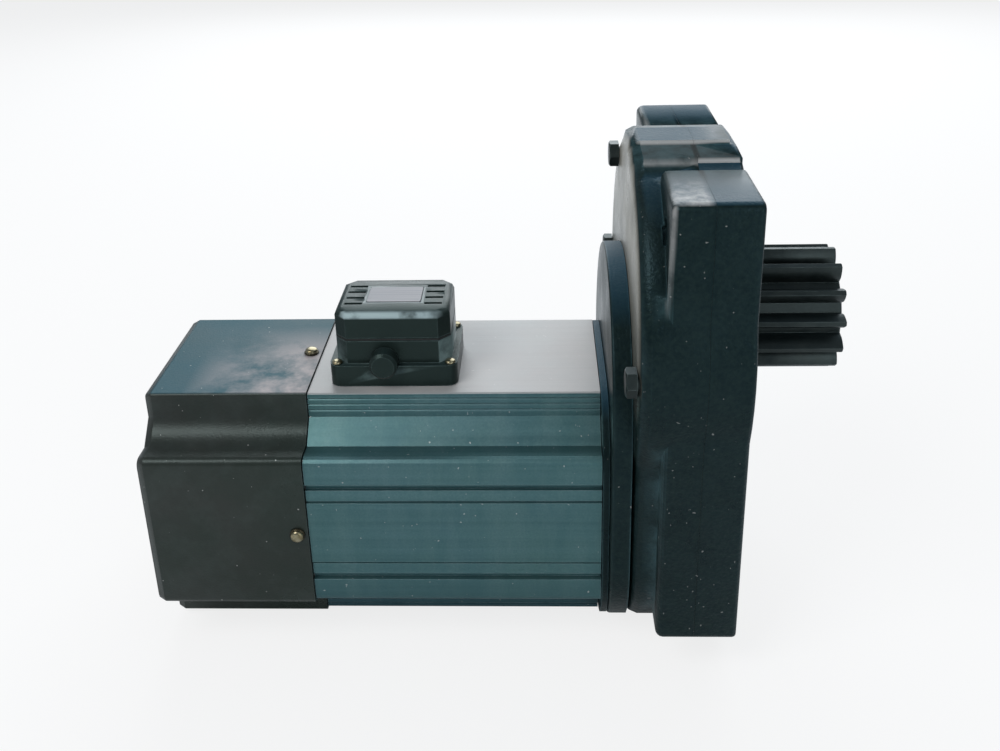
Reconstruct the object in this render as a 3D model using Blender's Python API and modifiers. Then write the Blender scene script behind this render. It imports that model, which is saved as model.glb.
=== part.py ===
"""Geared servo motor with a toothed output pinion.

An extruded aluminium motor lies along X. Its rear cover hides a holding brake
and an encoder, a terminal box sits on its top face, and a flat gear case at its
front lifts the drive to an output shaft above the motor. The gear train is a
motor pinion, a layshaft with a gear and a pinion, and a large output gear.

Axes: +Z up, +X from the motor towards the output pinion. The origin is the
middle of the bounding box on the plane that the object stands on.
"""
import math

import bmesh
import bpy
from mathutils import Matrix

MM = 0.001

# ---- clearances -------------------------------------------------------------
SEAT_GAP = 0.3 * MM            # between parts that sit on or in each other
BACKLASH = 0.3 * MM            # taken off each tooth's thickness
OVERCUT = 1 * MM               # a cutting tool reaches this far past the face

# ---- motor body extrusion ---------------------------------------------------
BODY_ACROSS = 140 * MM         # top face to bottom face, and side to side
BODY_CORNER_STEP = 25 * MM     # from a plain face to the edge of the next one
BODY_WALL_DROP = 13.7 * MM     # depth of the grooved wall of a corner step
BODY_LENGTH = 155 * MM
BODY_WALL = 9.7 * MM           # thinnest, round the bore
EDGE_R = 1.5 * MM              # rounding of the extrusion's outer edges
SIDE_EDGE_R = 4 * MM           # softer rounding where the side faces begin
FINE_GROOVE = 1.2 * MM         # width and depth of the fine corner grooves
FINE_GROOVE_START = 2.4 * MM   # from the plain face to the first groove
FINE_GROOVE_PITCH = 3.4 * MM
FINE_GROOVES = 3
SIDE_GROOVE_EDGE = 15 * MM     # from the side face's edge to its deep groove
SIDE_GROOVE_WIDTH = 3.6 * MM
SIDE_GROOVE_DEPTH = 2.6 * MM
SIDE_GROOVE_SLOPE = 0.6 * MM   # of its upper flank
SIDE_BAND_SINK = 0.5 * MM      # the band below the groove stands back
SIDE_LINE_OFFSET = 6.5 * MM    # from the deep groove to the thin line groove
SIDE_LINE_DEPTH = 1.4 * MM
SIDE_LINE_WIDTH = 1.2 * MM

# ---- rear cover -------------------------------------------------------------
COVER_LENGTH = 88.5 * MM
COVER_PROUD = 1.2 * MM         # how far it stands out past the body
COVER_WALL = 3 * MM
COVER_EDGE_R = 5 * MM
COVER_SCREW_INSET = 6 * MM     # from the cover's open edge

# ---- screws -----------------------------------------------------------------
COVER_SCREW_R = 2 * MM
COVER_SCREW_LENGTH = 8 * MM    # under the head
PAN_HEAD_RATIO = 1.75          # head radius over shank radius
PAN_HEAD_HEIGHT = 2.2 * MM
WASHER_THICKNESS = 0.8 * MM
WASHER_RATIO = 2.05
BOX_SCREW_R = 1.6 * MM
BOX_SCREW_LENGTH = 7 * MM
BOX_SCREW_HEAD = 1.6 * MM
CASE_BOLT_R = 4 * MM
CASE_BOLT_HEAD_FLATS = 13 * MM
CASE_BOLT_HEAD_HEIGHT = 5.5 * MM
CASE_BOLT_LENGTH = 42 * MM
CASE_BOLT_SETBACK = 6.25 * MM   # of the bolt circle from the room round the gear
CASE_BOLT_ANGLES = (("far_top", 56), ("far_low", 1), ("near_low", 179))

# ---- end shields and motor bearings -----------------------------------------
SHIELD_THICKNESS = 12 * MM
SPIGOT_DEPTH = 5 * MM
SPIGOT_WALL = 8 * MM
REAR_BEARING_R = 17.5 * MM
REAR_BEARING_WIDTH = 11 * MM
FRONT_BEARING_R = 23.5 * MM
FRONT_BEARING_WIDTH = 14 * MM
FLANGE_THICKNESS = 3.7 * MM
FLANGE_PROUD = 1 * MM          # stands out past the body's faces
FLANGE_CORNER_R = 38 * MM
FLANGE_HUB_WALL = 8 * MM
FLANGE_LIP = 3 * MM            # length of the lip behind the front bearing
FLANGE_LIP_HEIGHT = 4 * MM
BEARING_GROOVE = 1 * MM        # depth of the face recess between the races
RACE_SHARE = 0.32              # of a bearing's section that one race takes
BEARING_PROUD = 2 * MM         # how far a bearing stands out of its boss

# ---- stator, windings and rotor ---------------------------------------------
STACK_LENGTH = 85 * MM
STACK_CENTRE = 77.5 * MM       # from the body's rear face
STATOR_BORE_R = 34 * MM
STATOR_SLOTS = 12
SLOT_WIDTH = 5 * MM
SLOT_DEPTH = 13 * MM
WINDING_LENGTH = 15 * MM
WINDING_SETBACK = 3 * MM       # of the end turns from the stator's bore
WINDING_ROOM = 3.3 * MM        # between the end turns and the body
WINDING_SHOULDER = 0.7         # share of their length that is straight
WINDING_CROWN_HALF = 3 * MM
AIR_GAP = 0.6 * MM
END_RING_LENGTH = 5 * MM
END_RING_OUTER_R = 30 * MM
END_RING_INNER_R = 22 * MM

# ---- motor shaft ------------------------------------------------------------
SHAFT_TAIL_R = 5 * MM
SHAFT_REAR_R = 7.5 * MM
SHAFT_SEAT_R = 12 * MM
SHAFT_FRONT_R = 10 * MM
SHAFT_NOSE_R = 6 * MM
SHAFT_CHAMFER = 1 * MM
SHAFT_SEAT_RUNOUT = 2 * MM     # of the rotor's seat past the stack

# ---- brake and encoder under the rear cover ----------------------------------
BRAKE_R = 46 * MM
BRAKE_HUB_R = 16 * MM
BRAKE_DISC_THICKNESS = 4 * MM
BRAKE_PLATE_THICKNESS = 3.5 * MM
BRAKE_COIL_LENGTH = 20 * MM
BRAKE_RUN_GAP = 0.5 * MM
BRAKE_DISC_SETBACK = 2 * MM    # the disc is smaller than its magnet
BRAKE_SHAFT_ROOM = 2 * MM
ENCODER_R = 26 * MM
ENCODER_LENGTH = 20 * MM
ENCODER_WALL = 3 * MM
ENCODER_DISC_R = 19 * MM
ENCODER_DISC_THICKNESS = 1.5 * MM

# ---- gear train -------------------------------------------------------------
FIRST_MODULE = 2 * MM
MOTOR_PINION_TEETH = 12
LAY_GEAR_TEETH = 30
FIRST_FACE = 6 * MM
GEAR_RUN_GAP = 0.5 * MM        # between a gear and the web beside it
SECOND_GEAR_GAP = 2.7 * MM     # between the inner bearing and the output gear
PRESSURE_ANGLE = 20.0          # degrees, of all the teeth
SECOND_MODULE = 3 * MM
LAY_PINION_TEETH = 12
OUTPUT_GEAR_TEETH = 50
SECOND_FACE = 15 * MM
PINION_OVERLAP = 1 * MM        # the layshaft pinion is this much longer each side
INNER_ADDENDUM = 0.75          # stub teeth inside the case, in modules
INNER_DEDENDUM = 1.1
OUTPUT_HEIGHT = 98.5 * MM       # output axis above the motor axis
LAY_SHAFT_R = 7 * MM
LAY_SHAFT_SEAT_R = 10 * MM
LAY_BEARING_R = 14 * MM
LAY_BEARING_WIDTH = 8 * MM
OUTPUT_INNER_R = 15 * MM
OUTPUT_SEAT_R = 22 * MM
OUTPUT_OUTER_R = 17.5 * MM
OUTPUT_SEAT_RUNOUT = 1 * MM
INNER_BEARING_R = 31 * MM
INNER_BEARING_WIDTH = 15 * MM
OUTER_BEARING_R = 36 * MM
OUTER_BEARING_WIDTH = 14 * MM
SEAL_R = 27 * MM
SEAL_PROUD = 3 * MM

# ---- output pinion ----------------------------------------------------------
PINION_MODULE = 4.5 * MM
PINION_TEETH = 13
PINION_ADDENDUM = 1.0          # in modules
PINION_DEDENDUM = 1.25
PINION_LENGTH = 53 * MM
PINION_TURN = 5.9              # degrees, how it stands in the photograph
PINION_COUNTERBORE_R = 20.5 * MM
PINION_COUNTERBORE_DEPTH = 5.5 * MM
PINION_GAP = 2 * MM            # between the seal and the pinion
END_WASHER_THICKNESS = 2 * MM
END_BOLT_R = 4 * MM
END_BOLT_HEAD_FLATS = 13 * MM
END_BOLT_HEAD_HEIGHT = 2.2 * MM
END_BOLT_LENGTH = 16 * MM

# ---- adapter and gear case --------------------------------------------------
ADAPTER_LENGTH = 10 * MM
ADAPTER_PROUD = 10 * MM        # stands out past the body's side faces
ADAPTER_DROP = 5 * MM          # and below its underside
ADAPTER_CORNER_R = 58 * MM
ADAPTER_TOP_CENTRE = 52 * MM   # centre of its round top above the motor axis
ADAPTER_WEB = 3 * MM           # closes the adapter towards the motor
CASE_WALL = 14.25 * MM         # of its round, outside the room for the output gear
CASE_PAD = 2 * MM              # the middle pad stands this far above the round's top
CASE_PAD_HALF = 12.3 * MM
CASE_PAD_SETBACK = 4 * MM      # it ends this far before the outer face
CASE_SHOULDER_START = 0.7 * MM  # the shoulders start this far below the round's top
CASE_SHOULDER_END = 1.8 * MM   # and end this far below it
CASE_SHOULDER_HALF = 30 * MM
CASE_WALL_REAR = 6.7 * MM
CASE_BACK_LENGTH = 13 * MM     # round back of the case, behind the lugs
CASE_BACK_EDGE_R = 6 * MM
LUG_LENGTH = 42 * MM           # thickness of the lugs along X
LUG_SPLIT = 19.5 * MM          # parting line from the lugs' rear face
LUG_SETBACK = 5.5 * MM          # the lugs end this far inside the round's side
LUG_WIDTH = 50 * MM
LUG_DROP = 5 * MM              # and this far below its top
LUG_BOTTOM = 52 * MM           # below the motor axis
LUG_CORNER_R = 4 * MM
CASE_FRONT_WALL = 12 * MM
GEAR_ROOM = 5 * MM             # running room round a gear inside the case
POCKET_ROOM = 3 * MM           # and in the adapter's pocket
SHAFT_WAY_ROOM = 1.5 * MM      # round the motor shaft where it passes a wall
BEARING_FLOOR = 2 * MM         # case wall left behind the inner bearing
BOSS_WALL = 7 * MM
LAY_BOSS_WALL = 4 * MM
OUTER_BOSS_LENGTH = 6 * MM     # inside the front wall
LUG_BOLT_HOLE_R = 7 * MM
LUG_HOLE_INSET = 20 * MM       # of the mounting holes from a lug's outer faces

# ---- terminal box -----------------------------------------------------------
BOX_CENTRE_X = 45.5 * MM       # from the body's rear face
BOX_CENTRE_Y = -10.5 * MM
BOX_WIDTH = 68.5 * MM
BOX_DEPTH = 53 * MM
BOX_PLINTH_HEIGHT = 12 * MM
BOX_INSET = 3.5 * MM           # the walls stand back from the plinth's edge
BOX_WALL_HEIGHT = 13 * MM
BOX_WALL = 3.2 * MM
BOX_CORNER_R = 6 * MM
BOX_FLOOR = 3 * MM
HOLLOW_CORNER_R = 2 * MM
GASKET_THICKNESS = 1 * MM
LID_HEIGHT = 15 * MM
LID_EDGE = 3.5 * MM
LID_RIBS = 4
LID_GROOVE_WIDTH = 2.4 * MM
LID_GROOVE_DEPTH = 1.8 * MM
LID_GROOVE_PITCH = 7.5 * MM
LID_GROOVE_MARGIN = 1 * MM     # from the lid's rounded edge
LID_FRAME = 2 * MM             # between the plate and the grooves
PLATE_LENGTH = 29 * MM
PLATE_WIDTH = 19 * MM
PLATE_THICKNESS = 0.8 * MM
BOX_SCREW_INSET = 4 * MM       # of the corner screws from the plinth's sides
BOX_NOTCH = 6.2 * MM           # the walls' corners are cut away for the screws
PLUG_R = 7.5 * MM
PLUG_THREAD_R = 5.5 * MM
PLUG_HEAD_LENGTH = 9 * MM
PLUG_EDGE = 1.5 * MM
PLUG_OFFSET = 4.5 * MM         # from the box's middle towards the cover
PLUG_RISE = 2 * MM             # of its axis above the plinth
PLUG_SPOT_DEPTH = 0.2 * MM
BOARD_THICKNESS = 4 * MM
BOARD_LENGTH = 44 * MM
BOARD_WIDTH = 18 * MM
STUD_R = 2 * MM
STUD_PITCH = 14 * MM
STUD_HEIGHT = 9 * MM
STUD_NUT_HEIGHT = 2 * MM
STUD_FLOOR = 1 * MM            # of the board left under a stud
STUDS = 3

# ---- places worked out from the sizes ---------------------------------------
OVERALL_LENGTH = (COVER_LENGTH + BODY_LENGTH + FLANGE_THICKNESS + ADAPTER_LENGTH
                  + CASE_BACK_LENGTH + LUG_LENGTH + 3 * SEAT_GAP + SEAL_PROUD
                  + PINION_GAP + PINION_LENGTH)
BODY_HALF = BODY_ACROSS / 2
BODY_FLAT = BODY_ACROSS - 2 * BODY_CORNER_STEP
BODY_BORE_R = BODY_HALF - BODY_WALL
ADAPTER_HALF_WIDTH = BODY_HALF + ADAPTER_PROUD
ADAPTER_BOTTOM = BODY_HALF + ADAPTER_DROP
OUTPUT_GEAR_TIP_R = SECOND_MODULE * (OUTPUT_GEAR_TEETH / 2 + INNER_ADDENDUM)
OUTPUT_GEAR_ROOM_R = OUTPUT_GEAR_TIP_R + GEAR_ROOM
CASE_R = OUTPUT_GEAR_ROOM_R + CASE_WALL
LUG_HALF_WIDTH = CASE_R - LUG_SETBACK
LUG_TOP = OUTPUT_HEIGHT + CASE_R - LUG_DROP
AXIS_Z = ADAPTER_BOTTOM
OUTPUT_Z = AXIS_Z + OUTPUT_HEIGHT
COVER_X = -OVERALL_LENGTH / 2
BODY_X = COVER_X + COVER_LENGTH
BODY_END_X = BODY_X + BODY_LENGTH
FLANGE_X = BODY_END_X + SEAT_GAP
ADAPTER_X = FLANGE_X + FLANGE_THICKNESS + SEAT_GAP
ADAPTER_END_X = ADAPTER_X + ADAPTER_LENGTH
CASE_X = ADAPTER_END_X + SEAT_GAP
LUG_X = CASE_X + CASE_BACK_LENGTH
SPLIT_X = LUG_X + LUG_SPLIT
CASE_END_X = LUG_X + LUG_LENGTH
PINION_X = CASE_END_X + SEAL_PROUD + PINION_GAP
SHIELD_X = BODY_X - SEAT_GAP - SHIELD_THICKNESS
STACK_X = BODY_X + STACK_CENTRE - STACK_LENGTH / 2
FIRST_CENTRES = FIRST_MODULE * (MOTOR_PINION_TEETH + LAY_GEAR_TEETH) / 2
SECOND_CENTRES = SECOND_MODULE * (LAY_PINION_TEETH + OUTPUT_GEAR_TEETH) / 2
# The layshaft lies where its two centre distances meet, on the near side.
LAY_UP = (OUTPUT_HEIGHT ** 2 + FIRST_CENTRES ** 2 - SECOND_CENTRES ** 2) / (2 * OUTPUT_HEIGHT)
LAY_Y = -math.sqrt(FIRST_CENTRES ** 2 - LAY_UP ** 2)
LAY_Z = AXIS_Z + LAY_UP
FIRST_X = ADAPTER_X + ADAPTER_WEB + GEAR_RUN_GAP
SECOND_X = CASE_X + BEARING_FLOOR + INNER_BEARING_WIDTH + SECOND_GEAR_GAP
OUTER_BOSS_X = CASE_END_X - CASE_FRONT_WALL - OUTER_BOSS_LENGTH
LAY_PINION_TIP_R = SECOND_MODULE * (LAY_PINION_TEETH / 2 + INNER_ADDENDUM)
LAY_GEAR_TIP_R = FIRST_MODULE * (LAY_GEAR_TEETH / 2 + INNER_ADDENDUM)
MOTOR_PINION_TIP_R = FIRST_MODULE * (MOTOR_PINION_TEETH / 2 + INNER_ADDENDUM)
BOX_TOP_Z = AXIS_Z + BODY_HALF + SEAT_GAP
BOX_X = BODY_X + BOX_CENTRE_X
LID_Z = BOX_TOP_Z + BOX_PLINTH_HEIGHT + BOX_WALL_HEIGHT + GASKET_THICKNESS + 2 * SEAT_GAP

ALONG_X = Matrix(((0, 0, 1, 0), (1, 0, 0, 0), (0, 1, 0, 0), (0, 0, 0, 1)))


# ---- scene and materials ----------------------------------------------------
def clear_scene():
    for old in list(bpy.data.objects):
        bpy.data.objects.remove(old, do_unlink=True)


def new_collection(name):
    collection = bpy.data.collections.new(name)
    bpy.context.scene.collection.children.link(collection)
    return collection


def new_material(name, colour, roughness, metallic):
    material = bpy.data.materials.new(name)
    material.use_nodes = True
    shader = material.node_tree.nodes["Principled BSDF"]
    shader.inputs["Base Color"].default_value = (*colour, 1)
    shader.inputs["Roughness"].default_value = roughness
    shader.inputs["Metallic"].default_value = metallic
    return material


clear_scene()
PARTS = new_collection("geared_servo_motor")
CUTTERS = new_collection("cutters")
ANODISED = ((0.36, 0.47, 0.50), 0.4, 0.9)
BLACK_PAINT = ((0.02, 0.035, 0.04), 0.3, 0.0)
BLACK_PLASTIC = ((0.03, 0.045, 0.05), 0.4, 0.0)
STEEL = ((0.55, 0.55, 0.55), 0.3, 1.0)
DARK_STEEL = ((0.03, 0.035, 0.035), 0.4, 0.8)
BRASSY = ((0.6, 0.5, 0.3), 0.35, 1.0)
COPPER = ((0.6, 0.27, 0.12), 0.4, 1.0)
ALUMINIUM = ((0.6, 0.6, 0.62), 0.4, 1.0)
RUBBER = ((0.02, 0.02, 0.02), 0.8, 0.0)


# ---- building blocks ----------------------------------------------------------
def add_object(name, mesh, finish, matrix=Matrix()):
    """Link a finished part with a material of its own."""
    part = bpy.data.objects.new(name, mesh)
    part.matrix_world = matrix
    mesh.materials.clear()
    mesh.materials.append(new_material(name + "_finish", *finish))
    PARTS.objects.link(part)
    return part


def add_cutter(name, mesh, matrix=Matrix()):
    cutter = bpy.data.objects.new(name, mesh)
    cutter.matrix_world = matrix
    cutter.hide_render = True
    cutter.display_type = "WIRE"
    CUTTERS.objects.link(cutter)
    return cutter


def combine(part, tool, operation):
    """Cut a tool out of a part, or join it on."""
    boolean = part.modifiers.new(tool.name, "BOOLEAN")
    boolean.operation = operation
    boolean.solver = "EXACT"
    boolean.object = tool


def cut(part, tool):
    combine(part, tool, "DIFFERENCE")


def join(part, tool):
    combine(part, tool, "UNION")


def signed_area(points):
    pairs = zip(points, points[1:] + points[:1])
    return sum(a[0] * b[1] - b[0] * a[1] for a, b in pairs) / 2


def loft_mesh(name, sections):
    """Skin through (outline, height) sections of equal point count, with flat ends."""
    mesh = bpy.data.meshes.new(name)
    shape = bmesh.new()
    rings = [[shape.verts.new((u, v, height)) for u, v in loop] for loop, height in sections]
    for low, high in zip(rings, rings[1:]):
        for here in range(len(low)):
            shape.faces.new((low[here - 1], low[here], high[here], high[here - 1]))
    shape.faces.new(rings[0])
    shape.faces.new(rings[-1])
    bmesh.ops.recalc_face_normals(shape, faces=shape.faces)
    shape.to_mesh(mesh)
    shape.free()
    return mesh


def rounded_end(outline_at, radius, steps):
    """Sections of a rounded end edge; outline_at gives the outline at an inset."""
    turns = [math.radians(90 * step / steps) for step in range(steps + 1)]
    return [(outline_at(radius * (1 - math.sin(turn))), radius * (1 - math.cos(turn)))
            for turn in turns]


def inset_outline(loop, distance):
    """Move every edge of a closed outline inwards by a distance, corners mitred."""
    way = 1 if signed_area(loop) > 0 else -1
    points = []
    for here, (y, z) in enumerate(loop):
        before, after = loop[here - 1], loop[(here + 1) % len(loop)]
        before_len = math.hypot(y - before[0], z - before[1])
        after_len = math.hypot(after[0] - y, after[1] - z)
        n0 = (-(z - before[1]) / before_len * way, (y - before[0]) / before_len * way)
        n1 = (-(after[1] - z) / after_len * way, (after[0] - y) / after_len * way)
        scale = distance / (1 + n0[0] * n1[0] + n0[1] * n1[1])
        points.append((y + (n0[0] + n1[0]) * scale, z + (n0[1] + n1[1]) * scale))
    return points


def plate_mesh(name, loops, thickness):
    """A flat outline with holes, as a filled 2D curve from z = 0 to thickness."""
    if len(loops) == 1:
        return loft_mesh(name, [(loops[0], 0), (loops[0], thickness)])
    curve = bpy.data.curves.new(name, "CURVE")
    curve.dimensions = "2D"
    curve.fill_mode = "BOTH"
    curve.extrude = thickness / 2
    for number, loop in enumerate(loops):
        wanted = 1 if number == 0 else -1
        if signed_area(loop) * wanted < 0:
            loop = loop[::-1]
        spline = curve.splines.new("POLY")
        spline.points.add(len(loop) - 1)
        for point, (u, v) in zip(spline.points, loop):
            point.co = (u, v, 0, 1)
        spline.use_cyclic_u = True
    holder = bpy.data.objects.new(name + "_outline", curve)
    CUTTERS.objects.link(holder)
    graph = bpy.context.evaluated_depsgraph_get()
    mesh = bpy.data.meshes.new_from_object(holder.evaluated_get(graph))
    bpy.data.objects.remove(holder, do_unlink=True)
    shape = bmesh.new()
    shape.from_mesh(mesh)
    bmesh.ops.remove_doubles(shape, verts=shape.verts, dist=0.001 * MM)
    bmesh.ops.translate(shape, verts=shape.verts, vec=(0, 0, thickness / 2))
    bmesh.ops.recalc_face_normals(shape, faces=shape.faces)
    shape.to_mesh(mesh)
    shape.free()
    return mesh


def x_plate(loops, x0, x1, y=0.0, z=AXIS_Z, name="outline"):
    """Mesh and placing of an outline (y, z about an axis) extruded from x0 to x1."""
    return plate_mesh(name, loops, x1 - x0), Matrix.Translation((x0, y, z)) @ ALONG_X


def z_plate(loops, z0, z1, x, y, name="outline"):
    """Mesh and placing of an outline (x, y about a point) extruded from z0 to z1."""
    return plate_mesh(name, loops, z1 - z0), Matrix.Translation((x, y, z0))


def turned(name, finish, profile, steps, matrix, as_cutter=False):
    """Turn a profile of (radius, height) points about its own Z axis."""
    closed = all(radius > 0 for radius, height in profile)
    if signed_area(profile) > 0:
        profile = profile[::-1]
    shape = bmesh.new()
    corners = [shape.verts.new((radius, 0, height)) for radius, height in profile]
    ends = corners[1:] + corners[:1] if closed else corners[1:]
    for start, end in zip(corners, ends):
        shape.edges.new((start, end))
    mesh = bpy.data.meshes.new(name)
    shape.to_mesh(mesh)
    shape.free()
    part = add_cutter(name, mesh, matrix) if as_cutter else add_object(name, mesh, finish, matrix)
    screw = part.modifiers.new("turning", "SCREW")
    screw.axis = "Z"
    screw.steps = steps
    screw.render_steps = steps
    screw.use_merge_vertices = True
    screw.merge_threshold = 0.001 * MM
    screw.use_smooth_shade = False
    return part


def x_turned(name, finish, profile, steps=32, x=0.0, y=0.0, z=AXIS_Z, as_cutter=False):
    """Turn a profile of (x, radius) points about an axis along X."""
    rotated = [(radius, along) for along, radius in profile]
    if rotated[0][0] == 0 and signed_area(rotated) > 0:
        rotated = rotated[::-1]
    matrix = Matrix.Translation((x, y, z)) @ ALONG_X
    return turned(name, finish, rotated, steps, matrix, as_cutter)


def x_cylinder(name, radius, x0, x1, y=0.0, z=AXIS_Z, segments=16):
    """Cutter in the shape of a round bar along X."""
    shape = bmesh.new()
    bmesh.ops.create_cone(shape, cap_ends=True, segments=segments,
                          radius1=radius, radius2=radius, depth=x1 - x0)
    mesh = bpy.data.meshes.new(name)
    shape.to_mesh(mesh)
    shape.free()
    matrix = Matrix.Translation(((x0 + x1) / 2, y, z)) @ ALONG_X
    return add_cutter(name, mesh, matrix)


def block(name, size, centre):
    """Cutter in the shape of a box."""
    shape = bmesh.new()
    bmesh.ops.create_cube(shape, size=1)
    bmesh.ops.scale(shape, vec=size, verts=shape.verts)
    mesh = bpy.data.meshes.new(name)
    shape.to_mesh(mesh)
    shape.free()
    return add_cutter(name, mesh, Matrix.Translation(centre))


# ---- outlines -----------------------------------------------------------------
def arc(cy, cz, radius, start, end, steps):
    """Points along an arc, angles in degrees from +Y towards +Z."""
    span = [start + (end - start) * step / steps for step in range(steps + 1)]
    return [(cy + radius * math.cos(math.radians(a)), cz + radius * math.sin(math.radians(a)))
            for a in span]


def circle(radius, steps=32):
    return arc(0, 0, radius, 0, 360 * (steps - 1) / steps, steps - 1)


def mirrored(half):
    """Close a right-hand half outline, top to bottom, with its mirror image."""
    left = [(-y, z) for y, z in reversed(half) if y > 0]
    return half + left


def rounded_rectangle(width, depth, radius, steps=4):
    half_w = width / 2 - radius
    half_d = depth / 2 - radius
    corners = ((half_w, half_d, 0), (-half_w, half_d, 90),
               (-half_w, -half_d, 180), (half_w, -half_d, 270))
    points = []
    for u, v, start in corners:
        points += arc(u, v, radius, start, start + 90, steps)
    return points


def hexagon(flats):
    return arc(0, 0, flats / 2 / math.cos(math.radians(30)), 0, 300, 5)


def cross_quarter(grow, grooved):
    """Top right quarter of the body's outline, from the top middle to the side middle."""
    half = BODY_HALF + grow
    flat = BODY_FLAT / 2 + grow
    step = BODY_HALF - BODY_WALL_DROP + grow * (math.sqrt(2) - 1)
    points = arc(flat - EDGE_R, half - EDGE_R, EDGE_R, 90, 0, 2)
    if grooved:
        for number in range(FINE_GROOVES):
            z = half - FINE_GROOVE_START - FINE_GROOVE_PITCH * number
            points += [(flat, z), (flat - FINE_GROOVE / 2, z - FINE_GROOVE / 2),
                       (flat, z - FINE_GROOVE)]
    points += [(flat, step), (step, flat)]
    points += arc(half - SIDE_EDGE_R, flat - SIDE_EDGE_R, SIDE_EDGE_R, 90, 0, 3)
    if grooved:
        z = flat - SIDE_GROOVE_EDGE
        depth = half - SIDE_GROOVE_DEPTH
        points += [(half, z), (depth, z - SIDE_GROOVE_SLOPE), (depth, z - SIDE_GROOVE_WIDTH),
                   (half - SIDE_BAND_SINK, z - SIDE_GROOVE_WIDTH)]
        z -= SIDE_GROOVE_WIDTH + SIDE_LINE_OFFSET
        depth = half - SIDE_LINE_DEPTH
        points += [(half - SIDE_BAND_SINK, z), (depth, z - SIDE_LINE_WIDTH / 3),
                   (depth, z - SIDE_LINE_WIDTH * 2 / 3), (half, z - SIDE_LINE_WIDTH)]
    return points


def body_outline(grow=0.0, grooved=False):
    """The extrusion's outline: four plain faces with a stepped corner between each."""
    quarter = cross_quarter(grow, grooved)
    lower = [(y, -z) for y, z in reversed(quarter)]
    return mirrored(quarter + lower)


def adapter_outline():
    """Round-topped arch with large bottom corners, about the motor axis."""
    points = arc(0, ADAPTER_TOP_CENTRE, ADAPTER_HALF_WIDTH, 90, 0, 12)
    return mirrored(points + bottom_corner(0, -90, 8))


def on_circle(y, radius):
    """Height above the motor axis of a point of a circle about the output axis."""
    return OUTPUT_HEIGHT + math.sqrt(radius ** 2 - y ** 2)


def case_top(notch_half):
    """Top of the case from the middle pad over the shoulder to the notch at a lug."""
    round_top = OUTPUT_HEIGHT + CASE_R
    points = [(CASE_PAD_HALF, round_top + CASE_PAD),
              (CASE_PAD_HALF, round_top - CASE_SHOULDER_START),
              (CASE_SHOULDER_HALF, round_top - CASE_SHOULDER_END),
              (CASE_SHOULDER_HALF, on_circle(CASE_SHOULDER_HALF, CASE_R))]
    points.append((notch_half, on_circle(notch_half, CASE_R)))
    return points


def angle_at(y):
    """Angle in degrees at which the case's round stands at a given half width."""
    return math.degrees(math.acos(y / CASE_R))


def lug_meets_corner():
    """Angle at which the lugs' lower edge meets the adapter's bottom corner."""
    drop = LUG_BOTTOM - ADAPTER_BOTTOM + ADAPTER_CORNER_R
    return -math.degrees(math.asin(drop / ADAPTER_CORNER_R))


def bottom_corner(start, end, steps):
    return arc(ADAPTER_HALF_WIDTH - ADAPTER_CORNER_R, ADAPTER_CORNER_R - ADAPTER_BOTTOM,
               ADAPTER_CORNER_R, start, end, steps)


def case_back_outline():
    """Outline of the round back of the case, down to the adapter's arch.

    Its arcs share their points with the front outline wherever the two coincide.
    """
    inner = angle_at(LUG_HALF_WIDTH - LUG_WIDTH)
    reach = angle_at(LUG_HALF_WIDTH)
    points = case_top(LUG_HALF_WIDTH - LUG_WIDTH)
    points += arc(0, OUTPUT_HEIGHT, CASE_R, inner, reach, 5)[1:]
    points += arc(0, OUTPUT_HEIGHT, CASE_R, reach, -reach, 6)[1:]
    points += arc(0, OUTPUT_HEIGHT, CASE_R, -reach, -angle_at(ADAPTER_HALF_WIDTH), 2)[1:]
    points += bottom_corner(0, lug_meets_corner(), 3)
    points += bottom_corner(lug_meets_corner(), -90, 5)[1:]
    return mirrored(points)


def case_front_outline():
    """Outline of the case with its four corner lugs."""
    inner = LUG_HALF_WIDTH - LUG_WIDTH
    reach = angle_at(LUG_HALF_WIDTH)
    points = case_top(inner)
    points += [(inner, LUG_TOP)]
    points += arc(LUG_HALF_WIDTH - LUG_CORNER_R, LUG_TOP - LUG_CORNER_R, LUG_CORNER_R, 90, 0, 3)
    points += arc(0, OUTPUT_HEIGHT, CASE_R, reach, -reach, 6)
    points += arc(LUG_HALF_WIDTH - LUG_CORNER_R, LUG_CORNER_R - LUG_BOTTOM, LUG_CORNER_R, 0, -90, 3)
    points += bottom_corner(lug_meets_corner(), -90, 5)
    return mirrored(points)


def involute(angle):
    return math.tan(angle) - angle


def gear_outline(teeth, module, phase, addendum, dedendum, flank_steps=1):
    """Spur gear outline with 20 degree involute flanks and a tooth centred at phase."""
    pitch_r = module * teeth / 2
    tip_r = pitch_r + addendum * module
    root_r = pitch_r - dedendum * module
    pressure = math.radians(PRESSURE_ANGLE)
    base_r = pitch_r * math.cos(pressure)
    half = math.pi / (2 * teeth) - BACKLASH / (2 * pitch_r) + involute(pressure)
    start_r = max(base_r, root_r)
    radii = [start_r + (tip_r - start_r) * step / flank_steps for step in range(flank_steps + 1)]
    flank = [(r, half - involute(math.acos(min(1.0, base_r / r)))) for r in radii]
    if root_r < base_r:
        flank[:flank_steps == 1] = [(root_r, flank[0][1])]
    points = []
    for tooth in range(teeth):
        centre = phase + 2 * math.pi * tooth / teeth
        polar = [(r, centre - turn) for r, turn in flank]
        polar += [(r, centre + turn) for r, turn in reversed(flank)]
        points += [(r * math.cos(a), r * math.sin(a)) for r, a in polar]
    return points


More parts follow.
